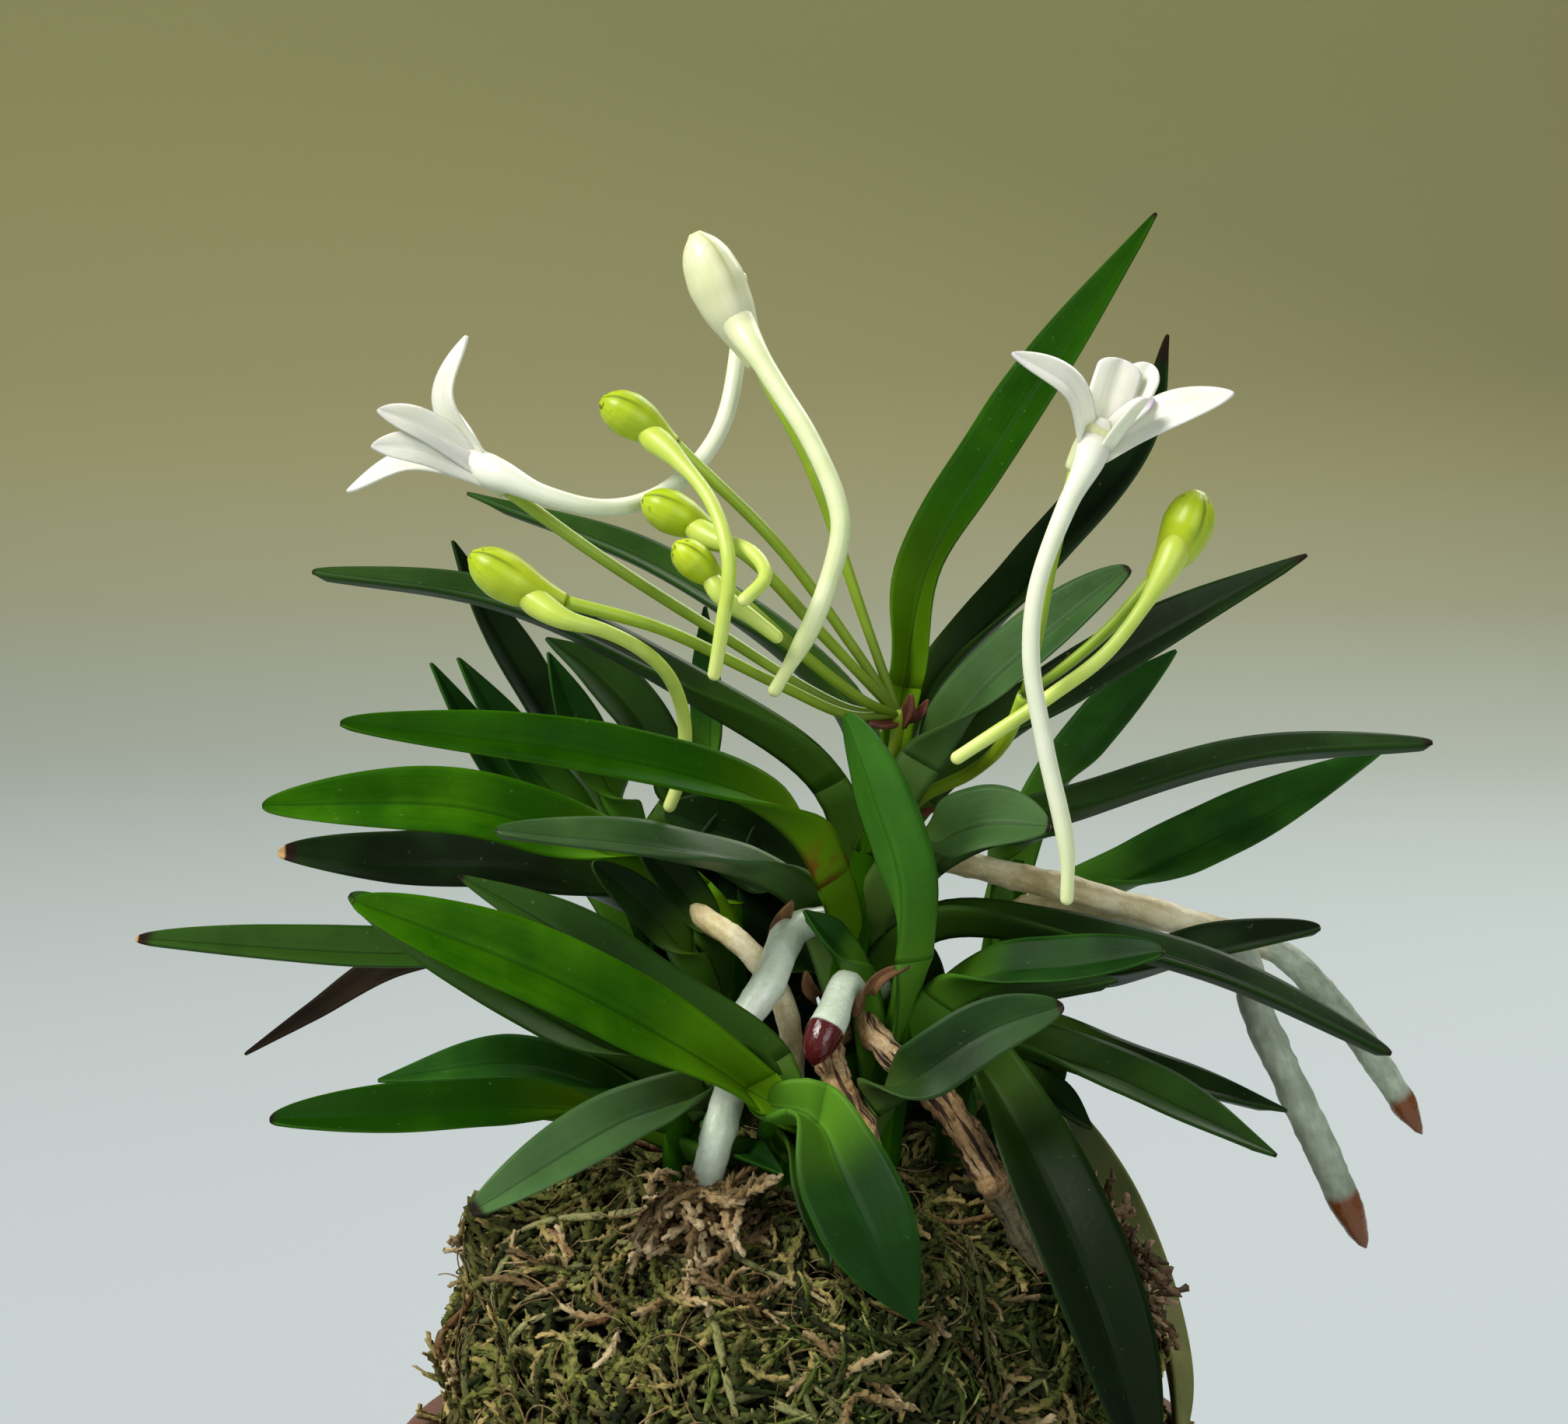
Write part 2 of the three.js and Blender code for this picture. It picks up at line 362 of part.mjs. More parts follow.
// Flower stalks: a short peduncle in a leaf axil and a pedicel out to each flower, in one piece.
const STALK_SIDES = 6;
const FOOT_RADIUS = 1.1;
const FOOT_TAPER = 0.2;
const PEDICEL_FOOT = 0.62; // radius where it leaves the peduncle
const PEDICEL_TOP = 0.88; // and under the flower
const STALKS = {
  raceme_left_stalks: {
    stem: "main",
    foot: [[8, -1.4, 37], [8.8, -2.4, 40.6], [8.9, -3, 43.6]],
    pedicels: {
      flower_left_open: [[8.9, -3, 43], [4.3, -3.4, 43.6], [-9.2, -6.4, 52], [-18.9, -8.6, 58.6],
        [-26.4, -9.6, 64.2]],
      bud_left_cream: [[8.9, -3, 43], [5.9, -3.4, 51.5], [0.9, -3.4, 65.6], [-3.9, -2.6, 75]],
      bud_left_upper: [[8.9, -3, 43], [4.6, -4.6, 49.6], [-2.2, -6.4, 59], [-11.4, -8, 68.2]],
      bud_left_middle: [[8.9, -3, 43], [1.4, -8, 51.5], [-3.6, -10.4, 57.2], [-7.4, -11.4, 60.4]],
      bud_left_inner: [[8.9, -3, 43], [6, -5.4, 44.4], [-0.8, -10.4, 50.2], [-6.8, -14.8, 56]],
      bud_left_lower: [[8.9, -3, 43], [4.6, -5.4, 43.2], [-2.2, -9.6, 46.7], [-12.4, -15, 52.3],
        [-20.8, -17.6, 55]],
    },
    bracts: [
      {
        width: 1.9,
        face: [-0.5, -0.8, 0.2],
        path: [[9.3, -2.8, 42], [9.9, -3.6, 43.6], [10, -4.2, 46]],
      },
      {
        width: 1.7,
        face: [0, -0.4, 1],
        path: [[8.6, -3.2, 42.2], [7.2, -4.8, 42.2], [5.6, -5.6, 42.6]],
      },
    ],
  },
  raceme_right_stalks: {
    stem: "main",
    foot: [[8.4, -0.4, 31.8], [11.4, -1.2, 35], [15.6, -2.6, 37.4], [18.4, -7.4, 41], [20, -11.6, 46]],
    pedicels: {
      flower_right_open: [[20, -11.6, 46], [21, -13.4, 51.4], [22.2, -14.4, 58.6], [24, -14.4, 66.2]],
      bud_right: [[20, -11.6, 46], [23.4, -12.8, 48.6], [27.6, -13.4, 52.4], [31.2, -13.4, 56.6]],
    },
    bracts: [
      {
        width: 1.9,
        face: [0, -0.4, 1],
        path: [[11.2, -1.4, 34.2], [12.8, -2.8, 34.8], [14.6, -3.8, 35.6]],
      },
    ],
  },
};

// Unopened flowers: head from the pedicel's end to the nose, and the spur that curls back from it,
// which starts with the radius spurFoot.
const BUDS = {
  bud_left_cream: {
    radius: 2.75,
    colour: CREAM,
    head: [[-3.9, -2.6, 75], [-6.8, -2.3, 80.6], [-9.7, -2, 87]],
    spurFoot: 1.2,
    spur: [[-5.6, -3.4, 78.6], [-4.2, -5.4, 76.4], [-2, -7.4, 73], [0.6, -9.6, 69],
      [3, -12, 63.7], [3.4, -13, 60.6], [1.3, -14, 53.5], [-2.7, -14.4, 46.2]],
  },
  bud_left_upper: {
    radius: 2.15,
    colour: BUD_GREEN,
    head: [[-11.4, -8, 68.2], [-14.4, -8, 70.2], [-18, -8, 72.2]],
    spurFoot: 0.95,
    spur: [[-13.6, -9, 69], [-11.4, -11.2, 67.4], [-7.9, -15.2, 63.4], [-6.4, -18.4, 58.4],
      [-7, -18.8, 52.9], [-7.8, -18, 48.1]],
  },
  bud_left_middle: {
    radius: 2.05,
    colour: BUD_GREEN,
    head: [[-7.4, -11.4, 60.4], [-10.4, -11.6, 61.8], [-14.2, -11.6, 63.6]],
    spurFoot: 0.95,
    spur: [[-9.4, -12.6, 60.9], [-7.4, -14.4, 60], [-4.6, -16.8, 59.4], [-3.2, -19.4, 57.4],
      [-5.4, -21.2, 55.2]],
  },
  bud_left_inner: {
    radius: 1.7,
    colour: BUD_GREEN,
    head: [[-6.8, -14.8, 56], [-8.8, -15.6, 57.8], [-11.2, -16.2, 60]],
    spurFoot: 0.9,
    spur: [[-8.2, -15.9, 57], [-6.8, -16.7, 55.2], [-4.6, -16.4, 53.6], [-1.8, -16.4, 51.4]],
  },
  bud_left_lower: {
    radius: 2.25,
    colour: BUD_GREEN,
    head: [[-20.8, -17.6, 55], [-24.8, -18, 56.6], [-29, -18, 59.2]],
    spurFoot: 0.95,
    spur: [[-23.4, -18.8, 55.2], [-20.8, -20.2, 53.8], [-17.6, -19.6, 52.8], [-14.3, -17, 50.8],
      [-11.7, -12.4, 47.4], [-10.6, -9.4, 43], [-10.9, -8.4, 38.4], [-12.2, -8.6, 34.8]],
  },
  bud_right: {
    radius: 2.4,
    colour: BUD_GREEN,
    head: [[31.2, -13.4, 56.6], [33.6, -13.4, 60], [35.2, -13.2, 64.4]],
    spurFoot: 1.05,
    spur: [[33.2, -14.6, 60], [31.8, -15.8, 57.2], [27, -16.8, 50.6], [21.8, -17.4, 46.6],
      [13.2, -17.4, 40.8]],
  },
};

// Open flowers: five tepals, the lip with its side lobes, the short column and the spur.
const BLOOMS = {
  flower_left_open: {
    throat: [[-26.4, -9.6, 64.2], [-27.6, -10, 65.4], [-29.4, -10.4, 66.8]],
    spur: [[-28.4, -10.8, 66.2], [-26.4, -12, 65.5], [-23, -12.6, 64], [-18.5, -11.6, 62.8],
      [-14.1, -8, 63.1], [-10, -3.4, 65.6], [-7.2, 1, 69.7], [-5.9, 4, 76], [-5.6, 6, 83.4]],
    parts: [
      {
        width: 3,
        face: [-0.9, -0.3, 0.2],
        path: [[-28.4, -10, 66.4], [-31.2, -10.2, 72.4], [-29.9, -10, 78]],
      },
      {
        width: 3.4,
        face: [0.2, -0.6, 0.8],
        path: [[-28.8, -10.6, 66.4], [-32.4, -12.6, 69.4], [-37.3, -14.8, 71.6]],
      },
      {
        width: 2.9,
        face: [0, -0.8, 0.6],
        path: [[-28.8, -10.8, 65.9], [-33.3, -14, 67.5], [-37.9, -15.6, 68]],
      },
      {
        width: 2.9,
        face: [-0.1, -0.3, 1],
        path: [[-28.8, -9.8, 65.5], [-35, -8.4, 66.4], [-41, -8, 63.9]],
      },
      {
        width: 3,
        face: [-0.6, -0.6, 0.4],
        path: [[-28.6, -9.4, 66], [-31, -5.6, 69], [-32, -2.6, 71.4]],
      },
      {
        width: 2.6,
        face: [-0.3, 0, 1],
        path: [[-28.8, -10.3, 65.6], [-31.6, -11, 65.7], [-34.4, -11.4, 64.6]],
      },
      {
        width: 1.8,
        face: [-0.8, 0, 0.6],
        path: [[-28.4, -10.2, 66.4], [-30, -10.3, 67.6], [-31, -10.4, 68.6]],
      },
    ],
  },
  flower_right_open: {
    throat: [[24, -14.4, 66.2], [24.8, -14.7, 67.6], [26.2, -15, 69.4]],
    spur: [[25.7, -15.3, 68.9], [25, -17, 67.2], [22.8, -18.6, 63], [20.4, -19.8, 56.4],
      [19.9, -20.4, 50.4], [21.2, -20.6, 42.6], [23.2, -20.4, 33.4], [23.3, -19.8, 28.4]],
    parts: [
      {
        width: 3.2,
        face: [0.4, -0.2, 0.9],
        path: [[25.4, -14.8, 68.6], [23.2, -16.6, 73.8], [18.2, -18.6, 76.8]],
      },
      {
        width: 3.6,
        face: [-0.4, -0.4, 0.8],
        path: [[26.2, -15, 68.4], [31.4, -16, 71.6], [37.6, -17, 73.2]],
      },
      {
        width: 3,
        face: [0, -0.9, 0.2],
        path: [[26, -14.4, 68.8], [27, -12.8, 72.4], [27.4, -12, 75.9]],
      },
      {
        width: 3,
        face: [-0.5, -0.7, 0.4],
        path: [[26.4, -14.4, 68.8], [29.4, -11.4, 72.6], [31.6, -10, 75.4]],
      },
      {
        width: 3,
        face: [0.7, -0.2, 0.6],
        path: [[25.8, -14.2, 68.6], [22.8, -10.6, 71.6], [20.2, -7.6, 73]],
      },
      {
        width: 2.8,
        face: [-0.4, 0.6, 0.7],
        path: [[26.4, -15.6, 68.6], [28.6, -18.6, 70.8], [30.2, -21, 71.4]],
      },
      {
        width: 2,
        face: [0.4, -0.6, 0.6],
        path: [[26.2, -15, 69], [27.6, -15.2, 71.2], [28.6, -15.4, 73]],
      },
    ],
  },
};

const PETAL_RINGS = 4;

const PETAL_FOLD = 14; // degrees
const PETAL_KEEL = 0.85;
const PETAL_NARROWS_FROM = 0.45; // share of its length

// Petal, lip or bract: a thin arched blade, narrow at its foot and pointed at its end.
function petal(row) {
  const curve = route(row.path);
  const face = vec(row.face).normalize();
  const rings = [];
  for (let i = 0; i <= PETAL_RINGS; i++) {
    const s = i / PETAL_RINGS;
    const opening = mix(0.5, 1, smooth(2 * s));
    const closing = Math.max(0, (s - PETAL_NARROWS_FROM) / (1.01 - PETAL_NARROWS_FROM)) ** 1.7;
    const spread = opening * Math.sqrt(1 - closing);
    rings.push(
      bladeRing(curve.getPointAt(s), curve.getTangentAt(s), face, {
        width: row.width * spread,
        fold: degrees(PETAL_FOLD),
        margin: MARGIN_THICKNESS,
        keel: PETAL_KEEL,
      }),
    );
  }
  return skin(rings);
}

// Spur: thick where it leaves the throat, thin and even after, a little swollen at the end.
const SPUR_SIDES = 6;
const BLOOM_SPUR_FOOT = 1.45;
const SPUR_RADIUS = 0.8;
const SPUR_TIP = 0.62;
const SPUR_TAPERS_BY = 0.6; // share of its length

function spur(points, thick, perSpan) {
  const last = points.length - 1;
  const radii = points.map((_, i) => mix(thick, SPUR_RADIUS, smooth(i / (last * SPUR_TAPERS_BY))));
  radii[last] = SPUR_TIP;
  return tube(points, radii, SPUR_SIDES, perSpan);
}

// Swollen head of an unopened flower between its two ends, with three soft ribs.
const HEAD_SHARES = [0, 0.18, 0.42, 0.64, 0.82, 0.94, 1];
const HEAD_SWELL = [0.34, 0.54, 0.88, 1, 0.85, 0.55, 0.2];
const HEAD_SIDES = 8;
const RIB_DEPTH = 0.05; // share of the radius

function budHead(points, radius) {
  const curve = route(points);
  const away = new THREE.Vector3(0.2, -0.9, 0.3);
  const rings = HEAD_SHARES.map((share, i) => {
    const tangent = curve.getTangentAt(share);
    const across = away.clone().addScaledVector(tangent, -away.dot(tangent)).normalize();
    const other = new THREE.Vector3().crossVectors(across, tangent);
    const push = share === 0 ? GAP : 0;
    const centre = curve.getPointAt(share).addScaledVector(tangent, push);
    return Array.from({ length: HEAD_SIDES }, (_, j) => {
      const angle = (2 * Math.PI * j) / HEAD_SIDES;
      const r = radius * HEAD_SWELL[i] * (1 + RIB_DEPTH * Math.cos(3 * angle));
      return centre
        .clone()
        .addScaledVector(across, r * Math.cos(angle))
        .addScaledVector(other, r * Math.sin(angle));
    });
  });
  return skin(rings);
}

// Throat of an open flower: a short cup that the tepals and the spur spring from.
function throat(points) {
  const curve = route(points);
  const start = curve.getPointAt(0).addScaledVector(curve.getTangentAt(0), GAP);
  return tube([start.toArray(), ...points.slice(1)], [0.85, 1.3, 1.35], STALK_SIDES, 1);
}

// Pot: turned wall and floor, with three drain holes.
const POT_SEGMENTS = 32;
const DRAIN_SEGMENTS = 12;
const innerRadius = (z) => {
  const share = (z - POT_FLOOR) / (POT_HEIGHT - POT_FLOOR);
  return mix(POT_FOOT_RADIUS - POT_WALL, POT_RIM_RADIUS - POT_WALL - 1, share);
};

function turned(profile, segments) {
  const geometry = new THREE.LatheGeometry(profile.map((p) => new THREE.Vector2(...p)), segments);
  geometry.rotateX(Math.PI / 2);
  return solidOf(geometry);
}

// A three.js geometry as a solid, its shared vertices merged.
function solidOf(geometry) {
  const bare = new THREE.BufferGeometry();
  bare.setAttribute("position", geometry.getAttribute("position"));
  bare.setIndex(geometry.getIndex());
  const merged = mergeVertices(bare, 1e-4);
  return new wasm.Manifold(
    new wasm.Mesh({
      numProp: 3,
      vertProperties: merged.attributes.position.array,
      triVerts: new Uint32Array(merged.index.array),
    }),
  );
}

function pot() {
  const bandFoot = POT_HEIGHT - RIM_BAND_HEIGHT;
  const body = turned(
    [
      [0, 0],
      [POT_FOOT_RADIUS - 1, 0],
      [POT_FOOT_RADIUS, 1],
      [POT_FOOT_RADIUS + 5.4, bandFoot * 0.5],
      [POT_RIM_RADIUS - 2.6, bandFoot],
      [POT_RIM_RADIUS - 0.6, bandFoot + 1],
      [POT_RIM_RADIUS, POT_HEIGHT - 1.6],
      [POT_RIM_RADIUS - 1.4, POT_HEIGHT],
      [innerRadius(POT_HEIGHT) + 1, POT_HEIGHT],
      [innerRadius(POT_HEIGHT - 1.4), POT_HEIGHT - 1.4],
      [innerRadius(POT_FLOOR), POT_FLOOR],
      [0, POT_FLOOR],
    ],
    POT_SEGMENTS,
  );
  const holes = [];
  for (let i = 0; i < DRAIN_HOLES; i++) {
    const height = 3 * POT_FLOOR;
    const hole = new THREE.CylinderGeometry(DRAIN_HOLE_RADIUS, DRAIN_HOLE_RADIUS, height, DRAIN_SEGMENTS);
    hole.rotateX(Math.PI / 2);
    const angle = (2 * Math.PI * i) / DRAIN_HOLES;
    hole.translate(DRAIN_CIRCLE_RADIUS * Math.cos(angle), DRAIN_CIRCLE_RADIUS * Math.sin(angle), 0);
    holes.push(solidOf(hole));
  }
  return body.subtract(join(holes));
}

// Moss: a plug that fills the pot and a lumpy mound above it, with wound strands lying over it.
const MOUND_SIDES = 26;
const MOUND_LEVELS = [
  // height from the crown, radius
  [POT_FLOOR + GAP - CROWN_HEIGHT, innerRadius(POT_FLOOR) - GAP],
  [POT_HEIGHT - 1 - CROWN_HEIGHT, innerRadius(POT_HEIGHT - 1) - 2 * GAP],
  [-22, MOUND_RADIUS],
  [-15, MOUND_RADIUS],
  [-8.5, MOUND_RADIUS - 1.5],
  [-4, MOUND_RADIUS - 4.6],
  [-1.8, MOUND_RADIUS - 10],
  [-0.6, MOUND_RADIUS - 19],
  [0, MOUND_RADIUS - 28],
];

const BULGE = 0.42;

// How far the mound bulges at an angle and height: soft lumps, none where it meets the pot.
function mossBulge(angle, z) {
  const wide = Math.sin(5 * angle + 0.31 * z);
  const narrow = Math.sin(9 * angle - 0.43 * z) + Math.sin(14 * angle + 1.1 * z);
  return BULGE * (wide + narrow) * smooth((z - MOUND_LEVELS[1][0]) / 5);
}

// A point on the mound, raised by lift.
function moundPoint(angle, z, lift) {
  let level = MOUND_LEVELS.findIndex(([height]) => height > z);
  if (level < 0) level = MOUND_LEVELS.length - 1;
  const [lowZ, lowR] = MOUND_LEVELS[level - 1];
  const [highZ, highR] = MOUND_LEVELS[level];
  const radius = mix(lowR, highR, Math.min(1, (z - lowZ) / (highZ - lowZ))) + mossBulge(angle, z);
  const out = lift * smooth(radius / MOUND_RADIUS);
  return [(radius + out) * Math.cos(angle), (radius + out) * Math.sin(angle), z + lift - out];
}

const STRANDS = 10;
const STRAND_SIDES = 4;
// Tufts that stand out of the mound's outline: angle in degrees, height from the crown, reach.
const TUFTS = [
  [182, -22, 4],
  [176, -8, 3],
  [2, -11, 4],
  [-8, -9, 3.5],
  [-14, -3, 4],
  [-100, -2, 3],
  [-62, -4, 3],
  [90, -6, 3.5],
  [140, -14, 3],
];

// Evenly scattered numbers from 0 to 1 that are the same at every run.
function scatter(i, step) {
  return (i * step + 0.37) % 1;
}

function moss() {
  const rings = MOUND_LEVELS.map(([z, radius]) =>
    Array.from({ length: MOUND_SIDES }, (_, j) => {
      const angle = (-2 * Math.PI * j) / MOUND_SIDES;
      const r = radius + mossBulge(angle, z);
      return vec([r * Math.cos(angle), r * Math.sin(angle), z]);
    }),
  );
  const pieces = [skin(rings)];
  for (let i = 0; i < STRANDS; i++) {
    const angle = 2 * Math.PI * scatter(i, 0.618);
    const z = mix(-23, -2, scatter(i, 0.382));
    const turn = mix(-0.45, 0.45, scatter(i, 0.271));
    const climb = mix(-7, 7, scatter(i, 0.733));
    const points = [-1, -0.33, 0.33, 1].map((k) => {
      const lift = Math.abs(k) === 1 ? -0.8 : 0.5;
      return moundPoint(angle + k * turn, THREE.MathUtils.clamp(z + k * climb, -24, 0.3), lift);
    });
    const thick = mix(0.8, 1.25, scatter(i, 0.521));
    pieces.push(tube(points, [thick * 0.7, thick, thick, thick * 0.6], STRAND_SIDES, 2));
  }
  for (const [place, z, reach] of TUFTS) {
    const angle = degrees(place);
    const points = [
      moundPoint(angle, z, -1.5),
      moundPoint(angle + 0.03, z + 1.2, reach * 0.6),
      moundPoint(angle + 0.08, z + 0.4, reach),
    ];
    pieces.push(tube(points, [1.5, 1.2, 0.6], STRAND_SIDES, 1));
  }
  return join(pieces);
}

const plant = new THREE.Group();
plant.position.z = CROWN_HEIGHT;

function addMesh(group, name, solid, colour, roughness) {
  const { vertProperties, triVerts } = solid.getMesh();
  const geometry = new THREE.BufferGeometry();
  geometry.setAttribute("position", new THREE.BufferAttribute(vertProperties, 3));
  geometry.setIndex(new THREE.BufferAttribute(triVerts, 1));
  geometry.computeVertexNormals();
  const material = new THREE.MeshStandardMaterial({ color: colour, roughness, metalness: 0 });
  const mesh = new THREE.Mesh(geometry, material);
  mesh.name = name;
  group.add(mesh);
}

// What stands in a stem or in the moss has a plain hole there, GAP wider all round.
const rootSolid = (root, grow) => tube(root.points, root.radii, ROOT_SIDES, 2, grow);
const coreSolid = ({ axis, radius }, grow) => {
  const radii = axis.map((_, i) => (i < axis.length - 1 ? radius : radius * STEM_TIP_SHARE));
  return tube(axis, radii, STEM_SIDES, 1, grow);
};
const footSolid = ({ foot }, grow) => {
  const radii = foot.map((_, i) => (i === 0 ? FOOT_RADIUS - FOOT_TAPER : FOOT_RADIUS));
  return tube(foot, radii, STALK_SIDES, 1, grow);
};

// Stems with their sheaths and small leaves, and the large leaves as pieces of their own
const stemSolids = {};
for (const [name, stem] of Object.entries(STEMS)) {
  stemSolids[name] = [coreSolid(stem, 0)];
}
for (const row of LEAVES) {
  const { sheath, blade } = leaf(route(STEMS[row.stem].axis), row);
  stemSolids[row.stem].push(sheath);
  if (blade) addMesh(plant, `leaf_${row.name}`, blade, TONES[row.tone], LEAF_ROUGHNESS);
}
const growsFromStems = [
  ...ROOTS.map((root) => [root.stem, rootSolid(root, GAP)]),
  ...Object.values(STALKS).map((stalk) => [stalk.stem, footSolid(stalk, GAP)]),
];
for (const [name, solids] of Object.entries(stemSolids)) {
  const holes = growsFromStems.filter(([stem]) => stem === name).map(([, solid]) => solid);
  const joined = join(solids);
  const stem = holes.length ? joined.subtract(join(holes)) : joined;
  addMesh(plant, `stem_${name}`, stem, STEM_GREEN, LEAF_ROUGHNESS);
}

for (const root of ROOTS) {
  addMesh(plant, root.name, rootSolid(root, 0), root.colour, ROOT_ROUGHNESS);
}

for (const [name, stalk] of Object.entries(STALKS)) {
  const pedicels = Object.values(stalk.pedicels).map((points) => {
    const radii = points.map((_, i) => mix(PEDICEL_FOOT, PEDICEL_TOP, i / (points.length - 1)));
    return tube(points, radii, STALK_SIDES, 1);
  });
  const solid = join([footSolid(stalk, 0), ...pedicels, ...stalk.bracts.map(petal)]);
  addMesh(plant, name, solid, STALK_GREEN, PETAL_ROUGHNESS);
}
for (const [name, bud] of Object.entries(BUDS)) {
  const solid = budHead(bud.head, bud.radius).add(spur(bud.spur, bud.spurFoot, 1));
  addMesh(plant, name, solid, bud.colour, PETAL_ROUGHNESS);
}
for (const [name, bloom] of Object.entries(BLOOMS)) {
  const spurSolid = spur(bloom.spur, BLOOM_SPUR_FOOT, 2);
  const solid = join([throat(bloom.throat), spurSolid, ...bloom.parts.map(petal)]);
  addMesh(plant, name, solid, WHITE, PETAL_ROUGHNESS);
}

const mossHoles = join([
  ...Object.values(STEMS).map((stem) => coreSolid(stem, GAP)),
  ...ROOTS.map((root) => rootSolid(root, GAP)),
]);
addMesh(plant, "moss_mound", moss().subtract(mossHoles), MOSS_BROWN, MOSS_ROUGHNESS);

const group = new THREE.Group();
addMesh(group, "pot", pot(), POT_BROWN, POT_ROUGHNESS);
group.add(plant);

export default group;
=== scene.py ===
import math
import random

import bmesh
import bpy
import numpy as np
from mathutils import Matrix, Vector, noise


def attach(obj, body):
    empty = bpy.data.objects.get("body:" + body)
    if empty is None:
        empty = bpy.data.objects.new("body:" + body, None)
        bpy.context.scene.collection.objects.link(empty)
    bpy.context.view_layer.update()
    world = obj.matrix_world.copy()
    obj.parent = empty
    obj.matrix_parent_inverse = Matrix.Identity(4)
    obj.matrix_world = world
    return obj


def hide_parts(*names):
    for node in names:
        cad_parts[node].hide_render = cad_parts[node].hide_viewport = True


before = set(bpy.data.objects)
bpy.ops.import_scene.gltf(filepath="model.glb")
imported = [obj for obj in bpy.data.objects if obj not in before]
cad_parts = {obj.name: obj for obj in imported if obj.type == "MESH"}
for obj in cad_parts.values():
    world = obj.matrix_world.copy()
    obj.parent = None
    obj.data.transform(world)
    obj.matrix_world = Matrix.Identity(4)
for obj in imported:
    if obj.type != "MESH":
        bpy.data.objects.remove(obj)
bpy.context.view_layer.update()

# Pot: a plain round pot of fired brown clay, turned on a wheel, with a thick rim band and three
# drain holes through its floor. The photograph ends above it, so it carries no ornament.
POT_HEIGHT = 0.074
POT_INSIDE_FOOT = 0.0225
POT_INSIDE_RIM = 0.0345
POT_FLOOR = 0.007
POT_PROFILE = [
    (0.0001, 0), (0.026, 0), (0.027, 0.001), (0.0324, 0.0325), (0.0374, 0.065), (0.0394, 0.066),
    (0.04, 0.0724), (0.0386, 0.074), (0.0355, 0.074), (0.0342, 0.0726), (0.0225, 0.007), (0.0001, 0.007),
]
DRAIN_HOLE_RADIUS = 0.0035
DRAIN_CIRCLE = 0.015
CLAY = ("#4a3026", "#6b4636", "#83604c")
CLAY_PLACES = (0.2, 0.5, 0.8)
DAMP_TOP = 0.03  # height up to which the clay is dark with damp
BLOOM_FOOT = 0.06  # height from which it is pale with lime
BLOOM_FULL = 0.075
POT_SIDES = 96
POT_EDGE = 0.0006  # how far the pot's edges are rounded
SHARP = 0.35  # radians of a fold that counts as an edge
WELD = 0.0003  # points closer than this become one
DRAIN_HOLES = 3
DRILL_LENGTH = 0.03
DRILL_SIDES = 40


def colour(code):
    """Linear colour of a written shade such as #6b4636."""
    levels = [int(code[i : i + 2], 16) / 255 for i in (1, 3, 5)]
    return [c / 12.92 if c <= 0.04045 else ((c + 0.055) / 1.055) ** 2.4 for c in levels] + [1]


class Amount:
    """What varies over a finish: a number, a place or a colour. Amounts are added, subtracted and
    multiplied like plain numbers."""

    def __init__(self, socket):
        self.socket = socket
        self.tree = socket.id_data

    def by(self, operation, other=0):
        return node(self.tree, "Math", "Value", {0: self, 1: other}, operation=operation)

    def __add__(self, other):
        return self.by("ADD", other)

    def __sub__(self, other):
        return self.by("SUBTRACT", other)

    def __mul__(self, other):
        return self.by("MULTIPLY", other)


def plug(socket, value):
    """Gives a socket what it reads: an amount, a plain number or a written shade."""
    if isinstance(value, Amount):
        value.tree.links.new(value.socket, socket)
    else:
        socket.default_value = colour(value) if isinstance(value, str) else value


def node(tree, kind, gives, reads=None, **settings):
    """A node of a finish with its settings and what it reads, as the amount that it gives."""
    made = tree.nodes.new("ShaderNode" + kind)
    for key, value in settings.items():
        setattr(made, key, value)
    for key, value in (reads or {}).items():
        plug(made.inputs[key], value)
    return Amount(made.outputs[gives])


def new_finish(name, **sockets):
    """A material, its surface shader with plain values on the sockets, and the place on the object."""
    material = bpy.data.materials.new(name)
    material.use_nodes = True
    tree = material.node_tree
    surface = tree.nodes["Principled BSDF"]
    for socket, value in sockets.items():
        surface.inputs[socket.replace("_", " ")].default_value = value
    return material, surface, node(tree, "TexCoord", "Object")


def parts(vector):
    """The three numbers of a place or of a mark."""
    split = node(vector.tree, "SeparateXYZ", "X", {"Vector": vector}).socket.node
    return [Amount(output) for output in split.outputs]


def grain(vector, scale, detail=4, stretch=(1, 1, 1)):
    """Noise on a vector, squeezed by stretch: it runs from 0 to 1."""
    squeezed = node(vector.tree, "Mapping", "Vector", {"Vector": vector, "Scale": stretch})
    return node(vector.tree, "TexNoise", "Fac", {"Vector": squeezed, "Scale": scale, "Detail": detail})


def shades(factor, places, tones):
    """Colours along a factor, with one tone at each place."""
    ramp = node(factor.tree, "ValToRGB", "Color", {"Fac": factor})
    elements = ramp.socket.node.color_ramp.elements
    while len(elements) < len(tones):
        elements.new(0.5)
    for element, place, tone in zip(elements, places, tones):
        element.position = place
        element.color = colour(tone)
    return ramp


def remap(value, low, high, to_low=0, to_high=1):
    """An amount between low and high, spread from to_low to to_high and held there outside."""
    reads = {"Value": value, "From Min": low, "From Max": high, "To Min": to_low, "To Max": to_high}
    return node(value.tree, "MapRange", "Result", reads, interpolation_type="SMOOTHSTEP")


def over(factor, below, above):
    """One colour laid over another by a factor."""
    return node(factor.tree, "Mix", 2, {"Factor": factor, 6: below, 7: above}, data_type="RGBA")


